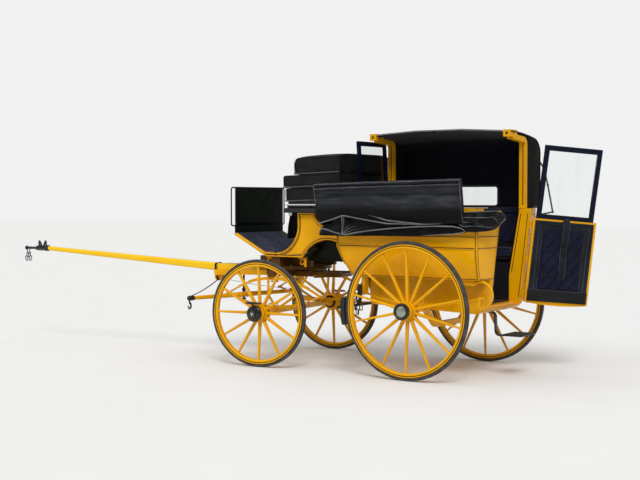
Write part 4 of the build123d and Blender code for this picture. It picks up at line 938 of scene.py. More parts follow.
def boot_outline():
    """The boot's side as a closed line of (x, z), with the main curves."""
    waist = arc((1.080, 1.300), (1.150, 1.340), (1.201, 1.430), 14)
    toe = [(2.125, 1.230), (2.125, 1.204), (1.752, 1.008)]
    return heel_line(26) + toe + boot_arch() + [(0.820, 1.300)] + waist


def inset_line(points, gap):
    """A closed line drawn inside another, a gap away from it."""
    area = sum(a[0] * b[1] - b[0] * a[1] for a, b in zip(points, points[1:] + points[:1]))
    turn = 1 if area > 0 else -1
    made = []
    count = len(points)
    for i in range(count):
        before, here, after = (Vector(points[(i + k) % count]) for k in (-1, 0, 1))
        if (here - before).length < 1e-6 or (after - here).length < 1e-6:
            continue
        first = (here - before).normalized()
        second = (after - here).normalized()
        normal = Vector((-(first.y + second.y), first.x + second.x)).normalized() * turn
        half = max(0.5, Vector((-second.y, second.x)).dot(normal) * turn)
        made.append(here + normal * (gap / half))
    return made


def rail_cap(work, outline, low, high):
    """A close cloth cap over a flat closed outline of (x, y)."""
    skin(work, [[work.verts.new(at(p.x, p.y, z)) for p in inset_line(outline, -grow)]
                for z, grow in ((low, 0.0032), (high - 0.002, 0.0032), (high, 0.0008))], True, True)


def boot_trim():
    """Beads and lines on the boot's sides with a painted shadow line, the iron edge of the foot board, and a
    near-black sheet under the arch that also stands in for its shade.
    """
    sizes = bpy.context.scene.coach_sizes
    beads, lines, soffit = bmesh.new(), bmesh.new(), bmesh.new()
    outline = boot_outline()
    outline = [p for i, p in enumerate(outline) if i == 0 or Vector(p) != Vector(outline[i - 1])]
    for side in SIDES:
        def outside(points, proud=0.0006):
            return [at(p.x, side * (BOOT_HALF + proud), p.y) for p in points]

        edge = outside(inset_line(outline, sizes.bead / 2), 0)
        sweep(beads, edge, sized(bead_section, sizes.bead), (0, side, 0), closed=True)
        fine = outside(inset_line(outline, sizes.bead + 0.0036))
        sweep(lines, fine, sized(flat_section, 0.0072, 0.002), (0, side, 0), closed=True)
        # The inner lip that follows the heel and the foot board.
        edge = [at(x + 0.003, side * (BOOT_HALF - 0.006), z + 0.003) for x, z in heel_line(26) + [(2.110, 1.223)]]
        sweep(beads, edge, sized(bead_section, 0.012, 0.006), (0.7, 0, 0.7))
        # A painted shadow line runs inside the outline along the heel and the foot.
        shadow = outside([p for p in inset_line(outline, 0.030) if 1.34 < p.x < 1.66 and p.y > 1.02])
        sweep(lines, shadow, sized(flat_section, 0.0062, 0.002), (0, side, 0))
    piece("boot_beads", beads, "yellow", "coach")
    # The near-black sheet under the arch's crown is black paint that also stands in for the shade inside the arch.
    above = [(x, z - 0.001) for x, z in boot_arch() if x > 1.190]
    below = [(x - 0.020, max(1.0085, z - 0.045)) for x, z in above[1:][::-1]]
    prism(soffit, above + below + [(1.310, 1.0085)], -0.374, 0.374)
    piece("boot_soffit", soffit, "black_and_arch_shade", "coach", (), 30)
    piece("boot_lines", lines, "lining", "coach")


def jamb_lines():
    """Dark lines on the doorway's reveals, dark lines of painted shade on the raised head's bows, and collars at the
    bows' feet.
    """
    lines, collars = bmesh.new(), bmesh.new()
    section = sized(flat_section, 0.0062, 0.002)
    heights = spread(0.668, 1.430, 30)
    for side in SIDES:
        y = side * (DOORWAY_HALF - 0.0006)
        deep = [at(rear_face(z) + 0.092 + (BELT - z) * 0.055, y, z) for z in heights if z >= 0.880]
        for path in (deep, [at(rear_face(z) + 0.026, y, z) for z in heights]):
            sweep(lines, path, section, (0, -side, 0))
    # The dark lines along the bows' faces are painted shade.
    for x in BOWS:
        for dx, y, facing in ((0.0236, -0.326, (1, 0, 0)), (-0.010, -0.3074, (0, 1, 0))):
            sweep(lines, [at(x + dx, y, z) for z in spread(1.500, 2.060, 12)], section, facing)
        cushion_block(collars, (x - 0.029, -0.374, BOW_FOOT), (x + 0.029, -0.302, 1.492), 0.005, at, 3)
        cushion_block(collars, (x - 0.026, -0.371, 1.490), (x + 0.026, -0.305, 1.500), 0.004, at, 2)
    piece("jamb_lines", lines, "lining", "coach")
    piece("bow_collars", collars, "yellow", "coach")


def hub_caps():
    """Caps on the four hubs, and the bright studs over the front axle's ends."""
    for name, _, centre, axle, _ in WHEELS:
        wheel = "wheel_" + name
        cap, disc, stud = bmesh.new(), bmesh.new(), bmesh.new()
        if name.startswith("rear"):
            lathe(cap, [(0.0, 0.0862), (0.052, 0.0862), (0.0555, 0.0905), (0.063, 0.0945), (0.070, 0.0925),
                        (0.0725, 0.086), (0.0725, 0.064), (0.0705, 0.060), (0.0705, 0.0845), (0.0, 0.0845)],
                  centre, axle, 64)
            piece("hub_ring_" + name, cap, "black", wheel)
            lathe(disc, [(0.0, 0.0925), (0.020, 0.0918), (0.040, 0.0895), (0.046, 0.0866), (0.0, 0.0866)],
                  centre, axle, 48)
            piece("hub_disc_" + name, disc, "hub_disc", wheel)
            continue
        lathe(cap, [(0.0228, 0.1060), (0.030, 0.1065), (0.050, 0.1015), (0.064, 0.0960), (0.0735, 0.0890),
                    (0.0745, 0.070), (0.0725, 0.060), (0.0705, 0.060), (0.0705, 0.0905), (0.0228, 0.0905)],
              centre, axle, 64)
        piece("hub_drum_" + name, cap, "black", wheel)
        lathe(disc, [(0.0, 0.1195), (0.012, 0.1190), (0.022, 0.1165), (0.0275, 0.1125), (0.028, 0.1080),
                     (0.0, 0.1080)], centre, axle, 40)
        piece("hub_dome_" + name, disc, "black", "front_carriage")
        lathe(stud, [(0.0, 0.1235), (0.006, 0.1230), (0.0105, 0.1210), (0.0120, 0.1180), (0.0, 0.1180)],
              centre, axle, 32)
        for away in around(axle, axle.orthogonal().normalized(), 6):
            lathe(stud, [(0.0, 0.1195), (0.0034, 0.1185), (0.0040, 0.114), (0.0, 0.114)],
                  centre + away * 0.0205, axle, 12)
        piece("hub_stud_" + name, stud, "bright", "front_carriage")


def around(axis, start, count, shift=0.0):
    """Directions round an axis, the first one turned from start by a share of their pitch."""
    angles = [2 * pi * (k + shift) / count for k in range(count)]
    return [start * cos(angle) + axis.cross(start) * sin(angle) for angle in angles]


def spoke_collars():
    """Turned rings on the naves and the bolts through the felloes."""
    for name, radius, centre, axle, spokes in WHEELS:
        rings, bolts = bmesh.new(), bmesh.new()
        for out, low, high in ((0.0882, 0.000, 0.016), (0.0815, 0.030, 0.044), (0.0895, -0.064, -0.048),
                               (0.0755, -0.100, -0.086)):
            lathe(rings, [(out - 0.020, low), (out - 0.002, low), (out, low + 0.004), (out, high - 0.004),
                          (out - 0.002, high), (out - 0.020, high)], centre, axle, 56)
        piece("nave_rings_" + name, rings, "yellow", "wheel_" + name)
        for away in around(axle, Vector((0, 0, 1)), spokes, 0.5):
            for face in (1, -1):
                lathe(bolts, [(0.0, 0.0035), (0.004, 0.0025), (0.006, 0.0), (0.006, -0.003), (0.0, -0.003)],
                      centre + away * (radius - 0.034) + axle * (face * 0.0225), axle * face, 10)
        piece("felloe_bolts_" + name, bolts, "yellow", "wheel_" + name)


def spring_fittings():
    """Clips and nuts round the leaves, and the bolts through the springs' eyes."""
    front, rear = bmesh.new(), bmesh.new()
    for side in SIDES:
        y = side * SPRING_Y
        for work, place, seat in ((front, fore, 0.523), (front, fore, 0.788), (rear, at, 0.623)):
            low, high = seat - 0.010, seat + 0.040
            for x in (-0.030, 0.030):
                loop = [(y - 0.030, low), (y - 0.030, high), (y + 0.030, high), (y + 0.030, low)]
                tube(work, curve([place(x, *spot) for spot in loop], 5), 0.0055, 8)
                for nut in (y - 0.030, y + 0.030):
                    cushion_block(work, (x - 0.009, nut - 0.009, low - 0.006), (x + 0.009, nut + 0.009, low + 0.006),
                                  0.002, place, 1)
        for work, place, half, x, z in ((front, fore, 0.032, 0.5, 0.650), (front, fore, 0.032, -0.5, 0.650),
                                        (rear, at, 0.040, 0.575, 0.715), (rear, at, 0.040, -0.575, 0.715),
                                        (rear, at, 0.040, -0.560, 0.630)):
            tube(work, [place(x, y - half, z), place(x, y + half, z)], 0.0085, 12)
    piece("front_spring_clips", front, "yellow", "front_carriage")
    piece("rear_spring_clips", rear, "yellow", "coach")


def turntable_irons():
    """Scroll brackets between the boot and the ring, and the ring's bolts."""
    held, bolts = bmesh.new(), bmesh.new()
    for y in (0.345, -0.345):
        for x, turn in ((1.365, -1), (1.735, 1)):
            scroll = [at(x, y, 0.962) + Vector((turn * 0.030 * cos(a), 0, 0.034 * sin(a))) * (1 - a / 14)
                      for a in [k * 0.42 for k in range(16)]]
            sweep(held, scroll, sized(flat_section, 0.026, 0.012), (0.02, 0, 1))
            tube(held, [at(x + turn * 0.030, y, z) for z in (1.008, 0.918)], 0.011, 10)
            cushion_block(held, (x - 0.040, y - 0.022, 0.996), (x + 0.040, y + 0.022, 1.006), 0.003, at, 1)
    piece("boot_brackets", held, "yellow", "coach")
    for away in around(Vector((0, 0, 1)), Vector((1, 0, 0)), 12, 0.5):
        lathe(bolts, [(0.0, -0.008), (0.009, -0.007), (0.009, 0.001), (0.0, 0.001)],
              fore(0.310 * away.x, 0.310 * away.y, 0.886), (0, 0, 1), 6)
    piece("ring_bolts", bolts, "turntable", "front_carriage")


def rear_irons():
    """Slender scroll irons behind the body and the black oval plates over the front hubs."""
    scrolls, plates = bmesh.new(), bmesh.new()
    line = arc((-0.500, 0.834), (-0.680, 0.735), (-0.560, 0.630), 30)
    boss = [(0.0, 0.0262), (0.014, 0.0260), (0.0195, 0.0225), (0.0205, 0.016)]
    for side in SIDES:
        y = side * SPRING_Y
        tube(scrolls, [at(x, y, z) for x, z in line], [0.0135 - 0.0028 * min(1.0, k / 10) for k in range(31)], 14)
        lathe(scrolls, boss + [(r, -z) for r, z in boss[::-1]], at(-0.560, y, 0.630), (0, 1, 0), 28)
        cushion_block(scrolls, (-0.522, y - 0.026, 0.821), (-0.378, y + 0.026, 0.8705), 0.006, at, 3)
        for x in (-0.490, -0.410):
            lathe(scrolls, [(0.0, -0.010), (0.008, -0.009), (0.010, -0.004), (0.010, 0.004), (0.0, 0.004)],
                  at(x, y, 0.8205), (0, 0, 1), 6)
    piece("slender_scrolls", scrolls, "yellow", "coach", ("scroll_irons",), 45)
    steps = 44
    for side in SIDES:
        middle = fore(0, side * (0.889 - 0.0227), 0.598)
        rings = []
        for share, rise in ((0.0, -0.0075), (0.55, -0.0075), (0.94, -0.0068), (1.035, -0.002), (1.04, 0.0045),
                            (0.97, 0.0095), (0.86, 0.0078), (0.45, 0.0055), (0.0, 0.0050)):
            ring = [AHEAD * (0.080 * share * cos(2 * pi * k / steps))
                    + ACROSS * (0.034 * share * sin(2 * pi * k / steps)) for k in range(steps if share else 1)]
            rings.append([plates.verts.new(middle + flat + Vector((0, 0, rise))) for flat in ring])
        close_rings(plates, rings, steps)
        tube(plates, [fore(0, side * 0.880, z) for z in (0.520, 0.560, 0.593)], [0.0105, 0.0095, 0.0120], 14)
    piece("hub_step_plates", plates, "black", "front_carriage", (), 45)


def strap(work, points, out, width=0.024, thick=0.0035):
    """A flat leather strap along a path."""
    sweep(work, points, [(-width / 2, 0), (-width / 2, thick), (width / 2, thick), (width / 2, 0)], out)


def link(work, middle, along, across, length=0.060, width=0.034, wire=0.0048):
    """One oval chain link."""
    along, across = along.normalized(), across.normalized()
    half, straight = width / 2 - wire, (length - width) / 2
    points = []
    for k in range(16):
        up = sin(2 * pi * k / 16)
        points.append(middle + across * (cos(2 * pi * k / 16) * half)
                      + along * (up * half + (straight if up > 0 else -straight)))
    tube(work, points, wire, 8, closed=True)


def pole_fittings():
    """The pole's collar and lugs, its hanging rings, and the strap and pin near the beds."""
    irons, rings, pin, loop = bmesh.new(), bmesh.new(), bmesh.new(), bmesh.new()
    lathe(irons, [(0.0, -0.030), (0.030, -0.030), (0.0335, -0.024), (0.0335, 0.018), (0.029, 0.026), (0.029, 0.120),
                  (0.024, 0.132), (0.0, 0.132)], fore(3.175, 0, 1.019), AHEAD, 40)
    for x, lean in ((3.205, -0.010), (3.272, 0.012)):
        lug = [fore(x - 0.018, 0, 1.050), fore(x + lean, 0, 1.098), fore(x + 0.018, 0, 1.050)]
        tube(irons, curve(lug, 6), 0.0085, 10)
    lathe(irons, [(0.0, -0.004), (0.020, -0.004), (0.022, 0.0), (0.022, 0.010), (0.016, 0.014), (0.0, 0.014)],
          fore(3.462, 0, 1.019), AHEAD, 32)
    piece("pole_head_irons", irons, "black", "front_carriage")
    down = Vector((0, 0, 1))
    link(rings, fore(3.440, 0, 0.990), down, AHEAD, 0.070, 0.044, 0.0052)
    for y, lean in ((0.016, 0.25), (-0.016, -0.2)):
        link(rings, fore(3.440, y, 0.942), down + ACROSS * lean, ACROSS, 0.060, 0.036)
        link(rings, fore(3.440 + lean * 0.04, y * 1.3, 0.902), down + AHEAD * lean, AHEAD, 0.064, 0.038)
    piece("pole_rings", rings, "chain", "front_carriage")
    tube(pin, [fore(0.905, y, 0.770) for y in (-0.060, 0.060)], 0.011, 12)
    piece("pole_pin", pin, "yellow", "front_carriage")
    left = [(0.932, 0.048, 0.906), (0.926, 0.060, 0.86), (0.914, 0.060, 0.79), (0.906, 0.048, 0.744)]
    round_pole = [(0.934, 0.0, 0.912)] + left + [(0.902, 0.0, 0.738)] + [(x, -y, z) for x, y, z in left[::-1]]
    ring = curve([fore(*spot) for spot in round_pole + round_pole[:1]], 5)[:-1]
    centre = fore(0.92, 0, 0.83)
    sweep(loop, ring, [(-0.011, -0.001), (-0.011, 0.004), (0.011, 0.004), (0.011, -0.001)],
          lambda point: point - centre, closed=True)
    piece("pole_strap", loop, "strap", "front_carriage")


def bar_straps():
    """The thin straps that hold the swing bar to the pole, and the bar's end irons."""
    irons, collar = bmesh.new(), bmesh.new()
    hook = ((0, 0.700, -0.018), (0.002, 0.702, -0.045), (-0.018, 0.702, -0.066), (-0.022, 0.702, -0.088),
            (0.000, 0.702, -0.104), (0.022, 0.702, -0.092), (0.021, 0.702, -0.072))
    for side, name in ((1, "left"), (-1, "right")):
        start, end = fore(0.900, side * 0.050, 0.748), bar_at(0.0, side * 0.672, 0.022)
        work = bmesh.new()
        strap(work, [start.lerp(end, t) - Vector((0, 0, 0.064 * t * (1 - t))) for t in spread(0, 1, 24)],
              (0, 0, 1), 0.013, 0.004)
        thing = piece("bar_strap_" + name, work, "strap", None)
        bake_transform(thing)
        lathe(irons, [(0.0, 0.030), (0.016, 0.028), (0.023, 0.020), (0.0245, 0.008), (0.0245, -0.034),
                      (0.0215, -0.040), (0.0, -0.040)], bar_at(0, side * 0.690, 0), BAR_WAY * side, 32)
        bend = curve([bar_at(x, side * y, z) for x, y, z in hook], 6)
        tube(irons, bend, spread(0.0072, 0.0047, len(bend) - 1), 10)
    piece("bar_end_irons", irons, "black", "swing_bar")
    for y in (-0.045, 0.045):
        lathe(collar, [(0.024, -0.012), (0.029, -0.010), (0.029, 0.010), (0.024, 0.012)], bar_at(0, y, 0),
              BAR_WAY, 32)
    piece("bar_collars", collar, "yellow", "swing_bar")


def drag_chain():
    """The black chain that hangs ahead of the near rear wheel."""
    work = bmesh.new()
    cushion_block(work, (0.590, 0.538, 0.740), (0.634, 0.582, 0.790), 0.008, at, 2)
    for number, (dx, dy, links) in enumerate(((0.000, 0.0, 5), (0.026, 0.010, 5), (-0.024, -0.006, 4))):
        lean = Vector((0.12 * (1 if number else -1), 0, 1))
        for k in range(links):
            across = Vector((1, 0.3, 0)) if (k + number) % 2 else Vector((-0.3, 1, 0))
            link(work, at(0.612 + dx * (0.4 + 0.2 * k), 0.560 + dy, 0.720 - 0.044 * k), lean, across, 0.062, 0.036)
    piece("drag_chain", work, "chain", "coach")


# Seat, dash and boot
def pad_outline(low, high, front, radius, rear, inset=0.0):
    """A seat pad's end face as (x, z) points, with its rounded upper front edge."""
    low, high, front, rear = low + inset, high - inset, front - inset, rear + inset
    turn = [(front - radius + radius * cos(a), high - radius + radius * sin(a))
            for a in spread(0, pi / 2, max(4, int(radius / 0.005)))]
    return [(rear, low), (front, low)] + turn + [(rear, high)]


def seat_pads():
    """Three leather pads stacked on the box seat, piped round their ends."""
    sizes = bpy.context.scene.coach_sizes
    welts, piping, seat, rails, edges = (bmesh.new() for _ in range(5))
    rear = 0.886

    def lean(x, y, z):
        """The pads sit a little lower at the front."""
        return at(x, y, z - 0.030 * (x - 1.200))

    for name, low, high, front, radius, half, crown in (
        # name, low z, high z at the ends, front x, radius of the upper front edge, half width, crown
        ("low", 1.546, 1.668, 1.500, 0.014, 0.443, 0.004),
        ("middle", 1.676, 1.788, 1.520, 0.018, 0.448, 0.006),
        ("top", 1.798, 1.950, 1.400, 0.056, 0.441, 0.022),
    ):
        def section(share, half_width, points):
            """Places across the pad at a share of its half width, raised towards the middle."""
            rise = crown * (1 - share ** 8) / (high - low)
            return [lean(x, share * half_width, z + rise * (z - low)) for x, z in points]

        def end_face(inset):
            return pad_outline(low, high, front, radius, rear, inset)

        work = bmesh.new()
        outline = dense_flat(end_face(0.004), 0.05)
        slices = [[work.verts.new(p) for p in section(share, half - 0.004, outline)] for share in spread(-1, 1, 24)]
        skin(work, slices, True, True)
        rim = [e for e in work.edges if e.calc_face_angle(0) > 0.8]
        bmesh.ops.bevel(work, geom=rim, offset=0.008, segments=3, profile=0.5, affect="EDGES")
        seams = []
        for side in SIDES:
            edge = [lean(x, side * (half - 0.008), z) for x, z in end_face(0.006)]
            seams.append(dense(edge + edge[:1]))
            tube(piping, [lean(x, side * (half - 0.005), z) for x, z in end_face(0.004)], sizes.piping, 8, closed=True)
        for x in (front - 0.006, rear + 0.006):
            seams.append(dense([lean(x, -half, low + 0.006), lean(x, half, low + 0.006)]))
        for x, z in ((front - 0.004 - radius * 0.25, high - 0.003 - radius * 0.25), (rear + 0.005, high - 0.004)):
            line = [section(share, half - 0.006, [(x, z)])[0] for share in spread(-1, 1, 24)]
            seams.append(dense(line))
            tube(piping, line, sizes.piping, 8)
        # A thick polished welt runs round the foot of each pad, paler than the leather as a painted highlight.
        foot = [lean(x, y, low + 0.003) for x, y in ((rear + 0.004, half - 0.002), (front - 0.003, half - 0.002),
                                                     (front - 0.003, 0.002 - half), (rear + 0.004, 0.002 - half))]
        tube(welts, dense(foot, 0.2), 0.0068, 8)
        pad = piece("seat_pad_" + name, work, "pad_leather", "coach",
                    ("seat_pads",) if name == "low" else ())
        swell(pad, seams, 0.012)
    piece("seat_piping", piping, "strap", "coach")
    piece("seat_welts", welts, "welt", "coach")
    cushion_block(seat, (0.957, -0.423, 1.474), (1.482, 0.423, 1.548), 0.008, at, 2)
    piece("seat_frame", seat, "black", "coach")
    board = sized(bead_section, 0.030, 0.010)
    for side in SIDES:
        tube(rails, [at(x, side * 0.4425, 1.505) for x in (0.966, 1.496)], 0.0078, 12)
        cushion_block(rails, (1.448, side * 0.404 - 0.004, 1.404), (1.490, side * 0.404 + 0.004, 1.432), 0.002,
                      at, 1)
        sweep(edges, [at(x, side * 0.450, 1.452) for x in (0.965, 1.500)], board, (0, side, 0))
    sweep(edges, [at(1.500, y, 1.452) for y in (-0.452, 0.452)], board, (1, 0, 0))
    piece("seat_rails", rails, "bright", "coach")
    piece("seat_board_edge", edges, "black", "coach")


def hanging_fall():
    """The leather curtain under the front of the box seat, with soft folds."""
    work, studs = bmesh.new(), bmesh.new()
    rows = 22
    grid = []
    for i, (x, z) in enumerate(arc((1.494, 1.429), (1.514, 1.320), (1.530, 1.184), rows)):
        grid.append([work.verts.new(at(x + 0.006 * (i / rows) * sin(y * 34 + 0.8 * sin(i * 0.15))
                                       + 0.003 * ripple(y * 9, i * 0.2, 3.1), y, z)) for y in spread(-0.366, 0.366, 60)])
    skin(work, grid)
    thing = piece("seat_curtain", work, "strap", "coach", ("seat_fall",), 80)
    settle(thing, "SOLIDIFY", thickness=0.004, offset=0.0)
    thing.data.shade_smooth()
    for y in spread(-0.348, 0.348, 6):
        lathe(studs, [(0.0, 0.006), (0.004, 0.0055), (0.0065, 0.003), (0.0075, 0.0), (0.0, 0.0)],
              at(1.5005, y, 1.414), (1, 0, 0.1), 14)
    piece("curtain_studs", studs, "bright", "coach")


def dash_cover():
    """Leather panels of the dash, bound at their edges, and its frame of round bar."""
    work, binding, bars = bmesh.new(), bmesh.new(), bmesh.new()

    def panel(x, face, y, z, u, v):
        crown = 0.0030 * (1 - abs(2 * v - 1) ** 4) * (1 - abs(2 * u - 1) ** 8)
        return at(x + face * (crown + 0.0010 * ripple(y * 7, z * 7, face)), y, z)

    for face, x in ((1, 2.1375), (-1, 2.1245)):
        for low, high in ((1.208, 1.292), (1.308, 1.668)):
            skin(work, [[work.verts.new(panel(x, face, -0.381 + 0.762 * u, low + (high - low) * v, u, v))
                         for u in spread(0, 1, 36)] for v in spread(0, 1, 10)])
    thing = piece("dash_panels", work, "dash_leather", "coach", ("dash",), 60)
    settle(thing, "SOLIDIFY", thickness=0.009, offset=-1.0)
    for x in (2.1410, 2.1200):
        for z in (1.206, 1.294, 1.306, 1.670):
            tube(binding, [at(x, -0.383, z), at(x, 0.383, z)], 0.0038, 8)
        for y in (-0.383, 0.0, 0.383):
            tube(binding, [at(x, y, 1.206), at(x, y, 1.670)], 0.0026 if y == 0 else 0.0034, 8)
    piece("dash_binding", binding, "dash_leather", "coach")
    corners = [at(2.144, y, z) for y, z in ((0.4425, 1.299), (0.4425, 1.673), (-0.4425, 1.673), (-0.4425, 1.299))]
    loop = []
    for k, corner in enumerate(corners):
        start, end = (corner + (other - corner).normalized() * 0.026 for other in (corners[k - 1], corners[k - 3]))
        loop += [start.lerp(corner, t).lerp(corner.lerp(end, t), t) for t in spread(0, 1, 5)]
    tube(bars, loop, 0.0068, 12, closed=True)
    for side in SIDES:
        tube(bars, [at(2.144, side * 0.378, z) for z in (1.299, 1.206)], 0.0066, 12)
    piece("dash_bars", bars, "black", "coach", ("dash_frame",))


# Heads
HEAD_HALF, HEAD_REAR, HEAD_FRONT = 0.630, -0.612, 0.823
ROOF, CROWN, HEAD_SIDE = 2.152, 0.038, 1.990


def roof_share(z):
    """0 on the raised head's sides, 1 on its roof and even between them."""
    return clip((z - 1.90) / 0.2)


def roof_drop(x):
    """How far the roof's arch falls from its middle."""
    return CROWN * (2 * (x - HEAD_REAR) / (HEAD_FRONT - HEAD_REAR) - 1) ** 2


def head_section(inset=0.0):
    """The raised head's section as (y, z) points, from the rail up to the middle of the roof."""
    side_y = -HEAD_HALF + inset
    top = ROOF + CROWN - inset
    corner = arc((side_y, HEAD_SIDE), (side_y + 0.040, top - 0.092), (-0.500, top - 0.044), 12)
    crown = arc((-0.500, top - 0.044), (-0.260, top - 0.012), (0.0, top), 12)
    rise = [(side_y, RAIL_TOP + 0.002 + (HEAD_SIDE - RAIL_TOP - 0.002) * k / 14) for k in range(14)]
    return rise + corner + crown[1:]


def head_skin(name, inset, thick, finish, node, sag, seed):
    """One bent sheet of the raised head, drawn in a little between its bows, with its window cut out."""
    section = head_section(inset)
    work, cut = bmesh.new(), bmesh.new()
    grid = []
    rear, front = HEAD_REAR + inset, HEAD_FRONT - inset
    for t in spread(0, 1, 46):
        x = rear + (front - rear) * t
        row = []
        for y, z in section:
            high = roof_share(z)
            wrinkle = 0.004 * ripple(x * 3.5, y * 3.5 + seed, z * 5) + 0.002 * ripple(x * 13, y * 9, z * 9 + seed)
            wrinkle *= min(1.0, sin(pi * t) * 3)
            along = sin(pi * clip((z - RAIL_TOP) / (HEAD_SIDE - RAIL_TOP)))
            inward = sag * sin(pi * t) ** 0.7 * along * (1 - high) + wrinkle
            hollow = sag * 0.8 * sin(pi * t) * (0.4 + 0.6 * abs(sin(3 * pi * t)))
            row.append(work.verts.new(at(x, y + inward * (1 - high),
                                         z - high * (CROWN * (2 * t - 1) ** 2 + hollow + wrinkle))))
        grid.append(row)
    skin(work, grid)
    # The end walls, from the side back to the bows, join the sheet along its ends.
    for row in (grid[0], grid[-1]):
        for i in range(len(section) - 1):
            if section[i][0] <= -0.372:
                inner = [work.verts.new(Vector((vert.co.x, -0.362, vert.co.z))) for vert in row[i:i + 2]]
                work.faces.new((row[i], row[i + 1], inner[1], inner[0]))
    bmesh.ops.remove_doubles(work, verts=work.verts, dist=0.0004)
    thing = piece(name, work, finish, "coach", (node,), 50)
    cushion_block(cut, (-0.205, -0.70, 1.490), (0.285, -0.56, 1.685), 0.034, at, 4)
    cutter = show("window_cut", mesh_of("window_cut", cut))
    settle(thing, "SOLIDIFY", thickness=thick, offset=-1.0)
    settle(thing, "BOOLEAN", operation="DIFFERENCE", object=cutter, solver="EXACT")
    bpy.data.objects.remove(cutter)


def raised_head():
    """The leather head on the right with its lining, welts, window frame and straps."""
    head_skin("raised_head_leather", 0.0, 0.006, "leather", "hood_right", 0.010, 1.7)
    head_skin("raised_head_lining", 0.0095, 0.004, "head_cloth", "hood_lining", 0.006, 8.3)
    welts, pale, rim, loop, bits = (bmesh.new() for _ in range(5))
    for x in (HEAD_REAR, HEAD_FRONT):
        tube(welts, [at(x, y, z - CROWN * roof_share(z)) for y, z in head_section(-0.002)], 0.0062, 8)
    # A pale leather tube along the roof's crest is a painted highlight.
    tube(pale, [at(HEAD_REAR + (HEAD_FRONT - HEAD_REAR) * t, -0.002,
                   ROOF + CROWN - CROWN * (2 * t - 1) ** 2 - 0.002
                   - 0.008 * sin(pi * t) * (0.4 + 0.6 * abs(sin(3 * pi * t)))) for t in spread(0, 1, 30)], 0.0085, 10)
    piece("roof_edge", pale, "fold_highlight", "coach")
    for x in (-0.25, 0.45):
        tube(welts, [at(x, y - 0.001, z - (roof_drop(x) + 0.004) * roof_share(z))
                     for y, z in head_section(-0.002)[16:]], 0.0040, 8)
    piece("head_welts", welts, "leather", "coach")
    corners = [(x + 0.034 * cos(a), z + 0.034 * sin(a))
               for x, z, quarter in ((0.251, 1.651, 0), (-0.171, 1.651, 1), (-0.171, 1.524, 2), (0.251, 1.524, 3))
               for a in spread(quarter * pi / 2, (quarter + 1) * pi / 2, 6)]
    for y, facing in ((-0.626, -1), (-0.6105, 1)):
        sweep(rim, [at(x, y, z) for x, z in corners], sized(bead_section, 0.024, 0.012), (0, facing, 0), closed=True)
    piece("window_rim", rim, "black", "coach")
    bend = ((0.30, -0.020, 2.172), (0.27, -0.010, 2.146), (0.225, -0.008, 2.134), (0.18, -0.010, 2.146),
            (0.15, -0.020, 2.176))
    strap(loop, curve([at(*spot) for spot in bend], 8), (0, -1, 0), 0.016, 0.003)
    piece("head_strap", loop, "strap", "coach")
    for x in BOWS:
        lathe(bits, [(0.0, 0.004), (0.010, 0.003), (0.013, 0.0), (0.013, -0.004), (0.0, -0.004)],
              at(x, 0.0185, 2.138), (0, 1, 0), 16)
    piece("lock_holes", bits, "black", "coach")


# Lines of the folded head, as (x, z) points: its side's lower and upper edge, the rolled edge and the flap's foot.
fold_low = ((-0.494, 1.362), (-0.300, 1.345), (-0.121, 1.338), (0.231, 1.340), (0.394, 1.362), (0.536, 1.384),
            (0.687, 1.408), (0.827, 1.366), (0.944, 1.336))
fold_high = ((-0.469, 1.722), (-0.042, 1.713), (0.301, 1.706), (0.656, 1.699), (1.003, 1.688))
roll_line = ((-0.519, 1.292), (-0.481, 1.311), (-0.406, 1.325), (-0.265, 1.326), (-0.043, 1.318), (0.184, 1.302),
             (0.417, 1.279), (0.560, 1.259), (0.687, 1.234))
flap_low = ((-0.519, 1.288), (-0.481, 1.272), (-0.406, 1.262), (-0.265, 1.253), (-0.155, 1.246), (0.184, 1.240),
            (0.656, 1.228), (0.957, 1.231))


def folded_skin(u, turn):
    """A place on the folded head's side leather: up its outer face, over the top roll and down its inner face."""
    outside, roll_end = 0.62, 0.70
    if turn < outside:
        v, face = turn / outside, 1
    elif turn < roll_end:
        v, face = 1.0, 1 - 2 * (turn - outside) / 0.08
    else:
        v, face = 1 - (turn - roll_end) / 0.30, -1
    foot, head = -0.494 + 1.438 * u, -0.469 + 1.472 * u
    x = foot + (head - foot) * v
    low, high = between(fold_low, foot), between(fold_high, head) + 0.0025 * ripple(u * 13, 0.0, 2.2)
    z = low + (high - low) * v
    # The leather hangs inwards at its foot, bellies out a third of the way up and leans back above it.
    belly = 0.040 * sin(pi * min(1.0, v / 0.66)) ** 1.2 + 0.006 * min(1.0, v / 0.3)
    tuck = 0.016 * bell(v - 0.10, 0.13) * bell(x - 0.10, 0.42)
    crush = bell(x - 0.02, 0.20) * bell(v, 0.14)
    hem = 0.012 * bell(v, 0.035) + 0.010 * crush * ripple(x * 22, z * 34, 5.0)
    seam = 0.0040 * bell(v - 0.655, 0.012) - 0.0030 * bell(v - 0.685, 0.016)
    ragged = 0.5 + 0.5 * ripple(u * 17, v * 3, 1.0)
    roll = 0.014 * bell(v - 0.968, 0.034) + 0.015 * ragged * bell(v - 0.880, 0.024)
    neck = 0.010 * bell(v - 0.922 - 0.010 * ragged, 0.014)
    wave = 0.004 * ripple(x * 3, z * 7, 0.3) + 0.0022 * ripple(x * 12, z * 22, 4) * (0.5 + ragged * (v > 0.8))
    outer = 0.684 + belly - tuck + hem - seam + roll - neck + wave
    inner = 0.658 - 0.004 * sin(pi * v) + 0.5 * wave
    if -1 < face < 1:
        z += 0.009 * (1 - face * face)
    return at(x, inner + (outer - inner) * (face + 1) / 2, z)


